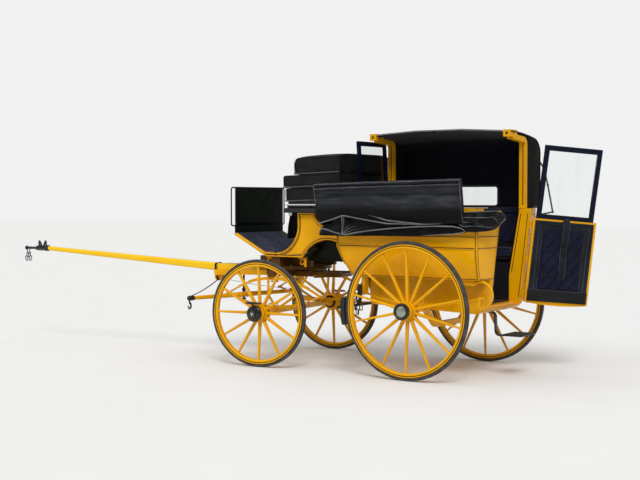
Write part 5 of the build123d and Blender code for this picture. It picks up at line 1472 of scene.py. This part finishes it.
def folded_panel():
    """The folded half-head's side leather, which stands up over the rail in a soft roll, with pale tubes as painted
    highlights along its roll, hem and wrinkles.
    """
    columns, rows = 150, 56
    work, trim, hems, rolls, seam = (bmesh.new() for _ in range(5))
    skin(work, [[work.verts.new(folded_skin(k / columns, i / rows)) for i in range(rows)]
                for k in range(columns + 1)], True, True)
    panel = piece("folded_head_panel", work, "fold_leather", "coach", ("fold_panel",), 60)
    for x_low, x_high, z_low, z_high in ((-0.494, -0.469, 1.364, 1.720), (0.944, 1.003, 1.340, 1.686)):
        tube(trim, [at(x_low + (x_high - x_low) * t, 0.690 + 0.018 * min(1.0, 3 * t), z_low + (z_high - z_low) * t)
                    for t in spread(0, 1, 14)], 0.0036, 8)
    piece("folded_head_welts", trim, "welt", "coach")
    # A pale tube along the foot of the panel is a painted highlight on its hem.
    places = spread(-0.300, 0.942, 100)
    tube(hems, [at(x, 0.698 + 0.010 * fold_peak(x, 0.05),
                   between(fold_low, x) + 0.004 + 0.005 * bell(x - 0.02, 0.2) * ripple(x * 25, 0, 3))
                for x in places], [0.0012 + 0.0050 * clip((x + 0.300) / 0.25) for x in places], 8)
    # Two ragged pale tubes along the top roll are painted highlights.
    for rise, thick, out, tail in ((-0.004, 0.0050, 0.7030, 1.0), (-0.040, 0.0042, 0.7065, 0.65)):
        places = spread(-0.462, 0.996, 140)
        tube(rolls, [at(x, out, between(fold_high, x) + rise + 0.004 * ripple(x * 15, rise * 90, 4.2))
                     for x in places],
             [thick * (1.0 + 0.55 * ripple(x * 34, rise * 50, 1.3)) * (tail + (1 - tail) * clip((x + 0.30) / 0.5))
              for x in places], 8)
    piece("folded_head_rolls", rolls, "roll_highlight", "coach")
    # Short wrinkles above the lower edge, drawn as pale tubes of painted highlight.
    for first, last, rise, wave in ((-0.150, 0.190, 0.020, 3.0), (-0.090, 0.330, 0.036, 9.0),
                                    (0.020, 0.420, 0.052, 5.0), (-0.120, 0.020, 0.011, 1.0)):
        path = [at(x, 0.7035, between(fold_low, x) + rise * (0.35 + 0.65 * k / 30) + 0.006 * ripple(k * 0.22, wave, 2))
                for k, x in enumerate(spread(first, last, 30))]
        tube(hems, path, [0.0008 + 0.0034 * sin(a) for a in spread(0, pi, 30)], 7)
    piece("folded_head_hem", hems, "fold_highlight", "coach")
    tube(seam, [at(-0.476 + 1.46 * t, 0.7035 + 0.0015 * sin(9 * t), 1.606 - 0.024 * t + 0.004 * sin(pi * t))
                for t in spread(0, 1, 50)], 0.0022, 6)
    piece("folded_head_seam", seam, "leather", "coach")


def fold_peak(x, width=0.030):
    """1 at the flap's deep fold and nothing away from it."""
    return bell(x - FOLD_X, width)


def flap_out(x, v, line):
    """How far the lower folds stand out; v runs up the flap and line is the rolled edge's place on it."""
    if x < FOLD_X:
        out = 0.036 * bell(max(0.0, v - line), 0.10) * bell(max(0.0, line - v), 0.09) + 0.010 * bell(v, 0.06)
        fan = exp((x - FOLD_X) / 0.16) * (1 - exp((x - FOLD_X) / 0.03))
        for slope, depth, width in ((2.6, 0.018, 0.10), (5.5, 0.013, 0.09)):
            out += depth * fan * bell(v - (0.70 - x) * slope, width)
    else:
        crease = 0.10 + 0.42 * min(1.0, (x - FOLD_X) / 0.27)
        out = 0.034 * bell(v - crease, 0.22) + 0.012 * bell(v, 0.05) + 0.010 * bell(v - 0.95, 0.10)
    out += 0.034 * fold_peak(x, 0.026) * (0.55 + 0.45 * v)
    out -= 0.014 * (fold_peak(x - 0.052, 0.022) + fold_peak(x + 0.052, 0.022)) * (0.3 + 0.7 * v)
    return out + 0.004 * ripple(x * 7, v * 3, 7.7) + 0.0025 * ripple(x * 23, v * 6, 1)


def folded_flap():
    """The gathered leather below the folded head: a long rolled edge, a sharp fold and slack between, with pale tubes
    as painted highlights along its edges, fold and crease.
    """
    work, edges = bmesh.new(), bmesh.new()
    columns = 190

    def face(u, v):
        x = -0.519 + 1.494 * u
        low, high = between(flap_low, x), between(fold_low, x) + 0.006
        # The lobes at both ends round off towards the body.
        if x > 0.820:
            high = min(high, low + 0.104 * sqrt(max(0.0, 1 - ((x - 0.820) / 0.158) ** 2)) + 0.004)
        if x < -0.440:
            high = min(high, low + 0.070 * sqrt(max(0.0, 1 - ((x + 0.440) / 0.080) ** 2)) + 0.003)
        line = (between(roll_line, x) - low) / max(0.01, high - low) if x < FOLD_X else 0.0
        taper = min(1.0, (columns * u + 1) / 9, (columns * (1 - u) + 1) / 9)
        y = 0.636 + (0.026 + flap_out(x, v, min(0.97, line))) * taper ** 0.6
        z = low + (high - low) * v
        return at(x, y, z), at(x, 0.616, z)

    padded_sheet(work, columns, 34, face)
    flap = piece("folded_head_flap", work, "slack_leather", "coach", ("fold_bundle",), 75)
    # Pale tubes along the rolled edge and the flap's foot are painted highlights.
    tube(edges, [at(x, 0.6985 + 0.020 * fold_peak(x), between(roll_line, x) + 0.002)
                 for x in spread(-0.510, 0.680, 90)], [0.0030 + 0.0034 * min(1.0, k / 12) for k in range(91)], 8)
    tube(edges, [at(x, 0.674, between(flap_low, x) + 0.003) for x in spread(-0.512, -0.092, 40)],
         [0.0046 - 0.0036 * t * t for t in spread(0, 1, 40)], 8)
    # The upright fold and the folds that fan out from its foot, drawn as pale tubes of painted highlight.
    for top, foot, radius in ((0.690, 0.690, 0.0050), (0.668, 0.684, 0.0030)):
        rise = between(fold_low, top) - 1.240
        tube(edges, [at(foot + (top - foot) * t, 0.716 - 0.006 * sin(pi * t), 1.240 + rise * t)
                     for t in spread(0, 1, 16)], [radius * (0.55 + 0.45 * abs(s)) for s in spread(-1, 1, 16)], 8)
    for far, z, radius in ((0.560, 1.316, 0.0036), (0.500, 1.296, 0.0026), (0.610, 1.330, 0.0022)):
        fan = curve([at(0.680, 0.712, 1.242), at(0.352 + far / 2, 0.700, 1.242 + (z - 1.242) * 0.70),
                     at(far, 0.694, z)], 10)
        tube(edges, fan, [max(0.0006, radius * s ** 0.6) for s in spread(1, 0, len(fan) - 1)], 8)
    crease = ((0.700, 0.708, 1.246), (0.780, 0.702, 1.262), (0.860, 0.696, 1.283), (0.925, 0.688, 1.290),
              (0.958, 0.668, 1.258))
    tube(edges, curve([at(*spot) for spot in crease], 8), 0.0056, 8)
    piece("folded_head_edges", edges, "fold_highlight", "coach")


def crumpled_curtain():
    """The rear curtain of the folded head, crumpled over the corner and along the rear rail, with pale tubes as
    painted highlights on its ridges.
    """
    work, ridges, inner, cap = (bmesh.new() for _ in range(4))
    stations = (
        # x, y, low z, high z, half thickness
        (-0.425, 0.662, 1.345, 1.440, 0.012),
        (-0.490, 0.664, 1.290, 1.446, 0.026),
        (-0.570, 0.662, 1.280, 1.452, 0.034),
        (-0.635, 0.634, 1.284, 1.456, 0.038),
        (-0.680, 0.570, 1.290, 1.458, 0.036),
        (-0.703, 0.490, 1.308, 1.456, 0.030),
        (-0.712, 0.400, 1.350, 1.444, 0.024),
        (-0.714, 0.322, 1.396, 1.416, 0.009),
    )
    middles = curve([Vector((x, y, (low + high) / 2)) for x, y, low, high, wide in stations], 12)
    spans = curve([Vector(((high - low) / 2, wide, 0)) for x, y, low, high, wide in stations], 12)
    total = len(middles) - 1

    def surface(index, angle, lift=0.0):
        """A place on the bundle's skin: the angle turns from the inside over the top to the outside."""
        along = middles[min(index + 1, total)] - middles[max(index - 1, 0)]
        inwards = Vector((-along.y, along.x, 0)).normalized()
        t, across, up = index / total, cos(angle), sin(angle)
        crush = 0.16 * ripple(t * 7, across * 1.4, up * 2.0)
        crush -= 0.50 * abs(ripple(t * 5 + 3, up * 4.2, across * 1.6)) ** 0.8
        ridge = 0.34 * bell(up - 0.40 - 0.2 * sin(t * 7), 0.11) + 0.22 * bell(up + 0.42, 0.10)
        wide = spans[index].y * abs(across) ** 0.7 * (1 + 1.5 * crush + ridge) + lift
        point = middles[index] + inwards * (wide if across > 0 else -wide)
        return at(point.x, point.y, point.z + spans[index].x * up * (1 + 0.10 * crush))

    skin(work, [[work.verts.new(surface(index, 2 * pi * k / 48)) for k in range(48)]
                for index in range(total + 1)], True, True)
    bundle = piece("crumpled_curtain", work, "slack_leather", "coach", (), 75)
    # Pale tubes along the ridges are painted highlights.
    for first, last, start, end, radius in (
        # stations along, angles at both ends, radius
        (0.04, 0.62, 152, 158, 0.0034), (0.60, 0.74, 158, 208, 0.0030), (0.02, 0.40, 176, 190, 0.0022),
        (0.10, 0.98, 96, 100, 0.0040), (0.30, 0.66, 205, 222, 0.0024), (0.70, 0.99, 236, 176, 0.0034),
        (0.76, 0.99, 214, 168, 0.0022), (0.05, 0.30, 212, 200, 0.0030),
    ):
        low, high = int(first * total), int(last * total)
        shares = spread(0, 1, high - low)
        path = [surface(low + k, radians(start + (end - start) * share ** 1.3 + 2 * sin(k * 0.19 + start)), 0.001)
                for k, share in enumerate(shares)]
        tube(ridges, path, [max(0.0006, radius * sin(pi * min(0.98, max(0.02, share))) ** 0.5)
                            for share in shares], 7)
    piece("curtain_ridges", ridges, "fold_highlight", "coach")
    path = [at(x, 0.606 + 0.006 * sin(k * 0.7), 1.500 + 0.010 * sin(k * 0.43))
            for k, x in enumerate(spread(-0.420, 0.680, 54))]
    tube(inner, path, [0.026 + 0.005 * ripple(k * 0.4, 0, 9) for k in range(55)], 16)
    piece("folded_head_lining", inner, "cloth", "coach", (), 70)
    rail_cap(cap, [(-0.582, 0.604), (-0.662, 0.311), (-0.556, 0.311), (-0.556, 0.354), (-0.553, 0.556)],
             1.457, 1.4785)
    piece("rear_rail_cloth", cap, "head_cloth", "coach", (), 40)


# Inside and door
def quilt_depth(x, z):
    """The door quilt's relief: long diagonals one way and shallower ones across them."""
    main = (x * 0.88 - z * 0.62) / QUILT_MAIN
    cross = (x * 0.62 + z * 0.72) / QUILT_CROSS
    return 0.0150 * abs(sin(pi * main)) ** 0.5 + 0.0055 * abs(sin(pi * cross)) ** 0.6


def bench_pads():
    """Cushions and buttoned squabs along both benches."""
    low, high = (corner.x - AXLE_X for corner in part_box("bench_cushions"))
    squab_low, squab_high = (corner.x - AXLE_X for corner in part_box("bench_squabs"))
    buttons, piping = bmesh.new(), bmesh.new()
    sizes = bpy.context.scene.coach_sizes
    x0, x1, foot, lift = squab_low + 0.003, squab_high - 0.003, 1.146, 0.145
    pitch = (x1 - x0) / 12
    for side, name in ((1, "left"), (-1, "right")):
        cushion, squab = bmesh.new(), bmesh.new()
        y0, y1 = sorted((side * 0.322, side * 0.510))
        cushion_block(cushion, (low + 0.004, y0, 1.036), (high - 0.004, y1, 1.116), 0.020, at, 4)
        seams = []
        for z in (1.046, 1.108):
            ring = [at(x, y, z) for x, y in ((low + 0.010, y0 + 0.006), (high - 0.010, y0 + 0.006),
                                             (high - 0.010, y1 - 0.006), (low + 0.010, y1 - 0.006))]
            seams.append(dense(ring + ring[:1]))
            tube(piping, dense([at(x, side * 0.324, z) for x in (low + 0.006, high - 0.006)], 0.05), sizes.piping, 8)
        for x in spread(low + 0.010, high - 0.010, 4)[1:-1]:
            seams.append(dense([at(x, y0, 1.116), at(x, y1, 1.116)]))
        pad = piece("bench_cushion_" + name, cushion, "cloth", "coach",
                    ("bench_cushions",) if side > 0 else ())
        swell(pad, seams, 0.014)

        def face(u, v):
            x, z = x0 + (x1 - x0) * u, foot + 2 * lift * v
            rim = min(1.0, u * 30, (1 - u) * 30, v * 9, (1 - v) * 9) ** 0.5
            depth = 0.030 + (0.022 * buttoned((x - x0) / pitch, (z - foot) / lift, 0.55) + 0.004) * rim
            return at(x, side * (0.578 - depth), z), at(x, side * 0.5795, z)

        padded_sheet(squab, 96, 28, face)
        piece("bench_squab_" + name, squab, "cloth", "coach",
                        ("bench_squabs",) if side > 0 else (), 60)
        for k in range(1, 12, 2):
            lathe(buttons, [(0.0, 0.006), (0.007, 0.004), (0.009, 0.0), (0.0, -0.002)],
                  at(x0 + pitch * k, side * 0.5465, foot + lift), (0, -side, 0), 14)
    piece("squab_buttons", buttons, "cloth", "coach")
    piece("cushion_piping", piping, "lace", "coach")


def body_lining():
    """Dark linings inside the boot's edges, the foot well and the rear corner, and over the far rail."""
    mat = bmesh.new()
    half = BOOT_HALF - 0.013
    sweep(mat, [at(x, 0, z) for x, z in dense_flat(heel_line(20) + [(2.121, 1.228)], 0.05)],
          [(-half, 0.0022), (-half + 0.004, 0.0062), (half - 0.004, 0.0062), (half, 0.0022), (half, 0.0004),
           (-half, 0.0004)], (0.4, 0, 1))
    piece("foot_board_cover", mat, "mat", "coach", ("toe_board",), 60)
    toe = bmesh.new()
    loop = ((0.380, 1.054), (0.398, 1.052), (0.4045, 1.046), (0.4045, 1.020), (0.4035, 1.012))
    for side in SIDES:
        strap(toe, [at(1.640, side * y, z) for y, z in loop],
              lambda p: Vector((0, side * max(0.0, abs(p.y) - 0.39) * 60, 0.3 + 0.4 * (p.z > 1.05))), 0.020, 0.003)
    piece("toe_straps", toe, "strap", "coach")
    well, edge = bmesh.new(), bmesh.new()
    for side in SIDES:
        y0, y1 = sorted((side * 0.3435, side * 0.3385))
        cushion_block(well, (-0.455, y0, 0.642), (0.572, y1, 0.985), 0.0015, at, 1)
        low_y, high_y = sorted((side * 0.500, side * 0.5780))
        cushion_block(well, (-0.462, low_y, 1.034), (0.630, high_y, 1.150), 0.003, at, 1)
        tube(edge, [at(x, side * 0.334, 0.652) for x in (-0.450, 0.562)], 0.0045, 8)
    cushion_block(well, (0.567, -0.338, 0.642), (0.574, 0.338, 0.985), 0.0015, at, 1)
    piece("foot_well_lining", well, "bench_paint", "coach")
    tube(edge, [at(-0.447, y, 0.642) for y in (-0.300, 0.300)], 0.0050, 8)
    piece("foot_well_beads", edge, "lace", "coach")
    rail = bmesh.new()
    path = [at(x, -0.565, 1.482 + 0.002 * sin(k * 0.9)) for k, x in enumerate(spread(-0.560, -0.144, 40))]
    edge = [(0.046, -0.046), (0.046, -0.004), (0.040, 0.002)]
    sweep(rail, path, [(-y, z) for y, z in edge] + edge[::-1] + [(0.042, -0.046), (0.042, -0.009), (-0.042, -0.009),
                                                                (-0.042, -0.046)], (0, 0, 1))
    piece("far_rail_cloth", rail, "cloth", "coach", (), 50)
    corner, buttons = bmesh.new(), bmesh.new()
    for side in SIDES:
        corner_squab(corner, buttons, side, SQUAB_FOOT, 1.432, True)
    corner_squab(corner, buttons, -1, 1.490, 1.900, False)
    piece("corner_squabs", corner, "squab_cloth", "coach", (), 60)
    piece("corner_buttons", buttons, "lace", "coach")


def corner_squab(work, buttons, side, low, high, leans):
    """A buttoned pad on the inner face of a rear quarter, or of the raised head's end wall above it."""
    near, far, pitch, lift = SQUAB_NEAR, 0.548, SQUAB_ACROSS, SQUAB_UP

    def wall(y, z):
        slant = 0.082 * (y - DOORWAY_HALF) / (BODY_HALF - DOORWAY_HALF)
        return rear_face(z) + 0.040 + slant if leans else -0.598

    def face(u, v):
        y, z = near + (far - near) * u, low + (high - low) * v
        rim = min(1.0, u * 9, (1 - u) * 9, v * 12, (1 - v) * 12) ** 0.5
        depth = 0.006 + (0.040 * buttoned((y - near) / pitch, (z - low) / lift, 0.5) + 0.004) * rim
        return at(wall(y, z) + depth, side * y, z), at(wall(y, z) + 0.002, side * y, z)

    padded_sheet(work, 30, 44, face)
    for k in (1, 2):
        for i in range(1, int((high - low) / lift) + 1):
            y, z = near + k * pitch, low + i * lift
            if (k + i) % 2 == 0 and z < high - 0.03:
                lathe(buttons, [(0.0, 0.007), (0.006, 0.005), (0.008, 0.001), (0.0, -0.001)],
                      at(wall(y, z) + 0.012, side * y, z), (1, 0, 0), 12)


def door_lining():
    """The door's quilted cloth, its lace borders, pull strap and kicking strip."""
    work, lace, piping, kick, pull, borders, tufts, handle = (bmesh.new() for _ in range(8))
    inside = -0.040
    x0, x1, z0, z1 = 0.031, 0.580, 0.020, 0.742
    facing = -door_out

    def face(u, v):
        x, z = x0 + (x1 - x0) * u, z0 + (z1 - z0) * v
        rim = clip(50 * min(x - x0 - 0.073, x1 - 0.073 - x, z - 0.122, z1 - 0.073 - z))
        depth = 0.003 + (quilt_depth(x, z) + 0.002 * ripple(x * 12, z * 9, 2)) * rim
        return door_at(x, inside - depth, z), door_at(x, inside + 0.002, z)

    padded_sheet(work, 84, 104, face)
    piece("door_quilt", work, "door_cloth", "door", ("door_trim",), 70)

    def border(inset, depth):
        """Up one side of the quilt, over its top and down the other side."""
        return [door_at(x, inside - depth, z) for x, z in ((x0 + inset, 0.118), (x0 + inset, z1 - inset),
                                                           (x1 - inset, z1 - inset), (x1 - inset, 0.118))]

    for inset, width, height in ((0.021, 0.036, 0.008), (0.061, 0.028, 0.011)):
        sweep(lace, border(inset, 0.002), [(-width / 2, 0), (-width / 2, height * 0.6), (-width * 0.4, height),
                                           (width * 0.4, height), (width / 2, height * 0.6), (width / 2, 0)], facing)
        for shift in (-width / 2, width / 2):
            tube(piping, border(inset + shift, 0.002 + height * 0.7), 0.0027, 6)
    piece("door_lace", lace, "lace", "door")
    cushion_block(kick, (x0 - 0.004, inside - 0.016, 0.014), (x1 + 0.004, inside + 0.001, 0.122), 0.004, door_at, 2)
    piece("door_kick_strip", kick, "strap", "door")
    tube(piping, [door_at(x, inside - 0.0165, 0.120) for x in (x0, x1)], 0.0026, 6)
    piece("door_piping", piping, "lace_cord", "door")
    middle = 0.315

    def hanging(shift, depth):
        """The pull strap's line, which waves a little as it hangs."""
        return [door_at(middle + shift + 0.004 * sin(k * 0.6), inside - depth - 0.004 * abs(sin(k * 1.05)), z)
                for k, z in enumerate(spread(0.735, 0.235, 15))]

    path = [door_at(middle, inside - 0.004, 0.772), door_at(middle, inside - 0.026, 0.756)] + hanging(0, 0.025)
    sweep(pull, curve(path, 4), [(-0.029, -0.003), (-0.027, 0.004), (-0.020, 0.002), (0.0, 0.006), (0.020, 0.002),
                                 (0.027, 0.004), (0.029, -0.003), (0.0, -0.004)], facing)
    for z in (0.262, 0.285, 0.372, 0.455, 0.538):
        tube(pull, [door_at(middle + 0.030 * s, inside - 0.027 - 0.008 * (1 - s * s), z + 0.004 * s)
                    for s in spread(-1, 1, 5)], 0.0058, 8)
    for k, x in enumerate(spread(middle - 0.026, middle + 0.026, 8)):
        tube(pull, [door_at(x, inside - 0.026, 0.238), door_at(x + 0.002 * sin(k * 2.0), inside - 0.024, 0.214)],
             0.0026, 5)
    piece("door_pull", pull, "lace", "door")
    for shift in (-0.0285, 0.0285):
        tube(borders, hanging(shift, 0.0285), 0.0026, 6)
    piece("door_pull_borders", borders, "lace_cord", "door")
    for k in range(-5, 9):
        for i in range(0, 8):
            # Where two seams of the quilt cross.
            main, cross = k * QUILT_MAIN, i * QUILT_CROSS
            x, z = (main * 0.72 + cross * 0.62) / 1.018, (cross * 0.88 - main * 0.62) / 1.018
            if x0 + 0.090 < x < x1 - 0.090 and 0.15 < z < z1 - 0.090 and abs(x - middle) > 0.035:
                lathe(tufts, [(0.0, 0.005), (0.005, 0.004), (0.007, 0.0), (0.0, -0.002)],
                      door_at(x, inside - 0.004, z), facing, 12)
    piece("door_tufts", tufts, "lace_cord", "door")
    lathe(handle, [(0.0, 0.012), (0.016, 0.010), (0.020, 0.004), (0.020, -0.001), (0.0, -0.001)],
          door_at(0.560, -0.010, 0.610), door_out, 24)
    tube(handle, curve([door_at(0.560, 0.000, 0.610), door_at(0.560, 0.030, 0.610), door_at(0.552, 0.038, 0.610),
                        door_at(0.490, 0.038, 0.604)], 6), 0.0065, 10)
    piece("door_handle", handle, "bright", "door")


def floor_mat():
    """The dark mat on the foot well's floor, and rubber treads on the step."""
    work, tread = bmesh.new(), bmesh.new()
    cushion_block(work, (-0.440, -0.335, 0.630), (0.560, 0.335, 0.637), 0.003, at, 2)
    piece("well_mat", work, "mat", "coach")
    for x in spread(-0.775, -0.613, 6):
        cushion_block(tread, (x, -0.142, 0.3758), (x + 0.014, 0.142, 0.3800), 0.0015, at, 1)
    piece("step_tread", tread, "rubber", "coach")


# Stage
CAMERA_PLACE = (-5.066, 9.683, 1.546)
CAMERA_TURN, CAMERA_DIP = -0.982, 0.033
SENSOR_WIDTH, LENS = 36.0, 67.43


def make_stage():
    """A pale floor, soft studio light and the camera."""
    scene = bpy.context.scene
    scene.view_settings.view_transform = "Standard"
    floor = bmesh.new()
    bmesh.ops.create_grid(floor, x_segments=2, y_segments=2, size=60)
    ground = show("floor", mesh_of("floor", floor))
    pale = Finish("pale_floor", Roughness=0.9, Specular_IOR_Level=0.1)
    pale.wear(Base_Color=pale.blend(pale.grain(1.5, 3), (0.78, 0.78, 0.77), (0.82, 0.82, 0.81)))
    ground.data.materials.append(pale.material)
    world = bpy.data.worlds.new("studio")
    scene.world = world
    world.use_nodes = True
    tree = world.node_tree
    tree.nodes.clear()
    output, mixed, light, seen, rays, either = (tree.nodes.new("ShaderNode" + kind) for kind in (
        "OutputWorld", "MixShader", "Background", "Background", "LightPath", "Math"))
    for background, level, strength in ((light, 1.0, 0.24), (seen, 0.882, 1.0)):
        background.inputs["Color"].default_value = (level, level, level, 1)
        background.inputs["Strength"].default_value = strength
    either.operation = "MAXIMUM"
    for source, target in ((rays.outputs["Is Camera Ray"], either.inputs[0]),
                           (rays.outputs["Is Transmission Ray"], either.inputs[1]),
                           (either.outputs[0], mixed.inputs["Fac"]), (light.outputs[0], mixed.inputs[1]),
                           (seen.outputs[0], mixed.inputs[2]), (mixed.outputs[0], output.inputs["Surface"])):
        tree.links.new(source, target)
    for name, place, strength, spread_angle in (
        ("sky", (0.0, 0.8, 9.0), 1.35, 100),
        ("key", (-3.8, 5.0, 6.2), 1.7, 24),
        ("fill", (5.0, 6.0, 4.5), 0.35, 50),
    ):
        data = bpy.data.lights.new(name, "SUN")
        data.energy = strength
        data.angle = radians(spread_angle)
        lamp = show(name, data)
        lamp.location = place
        lamp.rotation_euler = (-Vector(place)).to_track_quat("-Z", "Y").to_euler()
    data = bpy.data.cameras.new("camera")
    data.sensor_width = SENSOR_WIDTH
    data.lens = LENS
    camera = show("camera", data)
    turn, dip = CAMERA_TURN, CAMERA_DIP
    ahead = Vector((cos(turn) * cos(dip), sin(turn) * cos(dip), -sin(dip)))
    camera.location = at(*CAMERA_PLACE)
    camera.rotation_euler = ahead.to_track_quat("-Z", "Y").to_euler()
    scene.camera = camera


class CoachStep:
    """What all the steps share: undo, and doing their jobs in order."""
    bl_options = {"REGISTER", "UNDO"}

    def execute(self, context):
        for job in self.jobs:
            job()
        return {"FINISHED"}


class COACH_OT_paint(CoachStep, bpy.types.Operator):
    """Give each node that stays its own paint, leather or glass"""
    bl_idname = "coach.paint"
    bl_label = "Paint the frame"
    jobs = (make_finishes, paint_frame)


class COACH_OT_trim(CoachStep, bpy.types.Operator):
    """Add beads and painted lines to the body and the boot"""
    bl_idname = "coach.trim"
    bl_label = "Panel trim"
    jobs = (body_trim, boot_trim, jamb_lines)


class COACH_OT_hubs(CoachStep, bpy.types.Operator):
    """Add hub caps, nave rings and felloe bolts"""
    bl_idname = "coach.hubs"
    bl_label = "Hubs"
    jobs = (hub_caps, spoke_collars)


class COACH_OT_irons(CoachStep, bpy.types.Operator):
    """Add the undercarriage's clips, scrolls, brackets and chain"""
    bl_idname = "coach.irons"
    bl_label = "Undercarriage irons"
    jobs = (spring_fittings, turntable_irons, rear_irons, drag_chain)


class COACH_OT_pole(CoachStep, bpy.types.Operator):
    """Add the pole's head, rings and straps"""
    bl_idname = "coach.pole"
    bl_label = "Pole fittings"
    jobs = (pole_fittings, bar_straps)


class COACH_OT_seat(CoachStep, bpy.types.Operator):
    """Add the box seat's pads, rails, curtain and the dash's leather"""
    bl_idname = "coach.seat"
    bl_label = "Box seat and dash"
    jobs = (seat_pads, hanging_fall, dash_cover)


class COACH_OT_raised_head(CoachStep, bpy.types.Operator):
    """Add the raised half-head's leather and lining"""
    bl_idname = "coach.raised_head"
    bl_label = "Raised head"
    jobs = (raised_head,)


class COACH_OT_folded_head(CoachStep, bpy.types.Operator):
    """Add the folded half-head's panel, folds and crumpled curtain"""
    bl_idname = "coach.folded_head"
    bl_label = "Folded head"
    jobs = (folded_panel, folded_flap, crumpled_curtain)


class COACH_OT_inside(CoachStep, bpy.types.Operator):
    """Add the benches' cushions and squabs, the linings and the mats"""
    bl_idname = "coach.inside"
    bl_label = "Inside"
    jobs = (bench_pads, body_lining, floor_mat)


class COACH_OT_door(CoachStep, bpy.types.Operator):
    """Add the door's quilted lining, lace, strap and handle"""
    bl_idname = "coach.door"
    bl_label = "Door lining"
    jobs = (door_lining,)


class COACH_OT_stage(CoachStep, bpy.types.Operator):
    """Add the floor, the light and the camera"""
    bl_idname = "coach.stage"
    bl_label = "Stage"
    jobs = (make_stage,)


operators = (COACH_OT_paint, COACH_OT_trim, COACH_OT_hubs, COACH_OT_irons, COACH_OT_pole, COACH_OT_seat,
             COACH_OT_raised_head, COACH_OT_folded_head, COACH_OT_inside, COACH_OT_door, COACH_OT_stage)


class COACH_PT_panel(bpy.types.Panel):
    """The steps, and the sizes and colours that they use"""
    bl_label = "Wagonette"
    bl_space_type = "VIEW_3D"
    bl_region_type = "UI"
    bl_category = "Wagonette"

    def draw(self, context):
        for group in (context.scene.coach_paint, context.scene.coach_sizes):
            for name in group.bl_rna.properties.keys():
                if name not in ("rna_type", "name"):
                    self.layout.prop(group, name)
        for step in operators:
            self.layout.operator(step.bl_idname)


classes = (CoachPaint, CoachSizes) + operators + (COACH_PT_panel,)


def register():
    """Add the settings, the steps and the panel."""
    for kind in classes:
        bpy.utils.register_class(kind)
    bpy.types.Scene.coach_paint = PointerProperty(type=CoachPaint)
    bpy.types.Scene.coach_sizes = PointerProperty(type=CoachSizes)


def unregister():
    """Take them away again."""
    del bpy.types.Scene.coach_paint
    del bpy.types.Scene.coach_sizes
    for kind in reversed(classes):
        bpy.utils.unregister_class(kind)


def main():
    """Run every step in order."""
    register()
    for step in operators:
        group, name = step.bl_idname.split(".")
        getattr(getattr(bpy.ops, group), name)()
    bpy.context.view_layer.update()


if __name__ == "__main__":
    main()
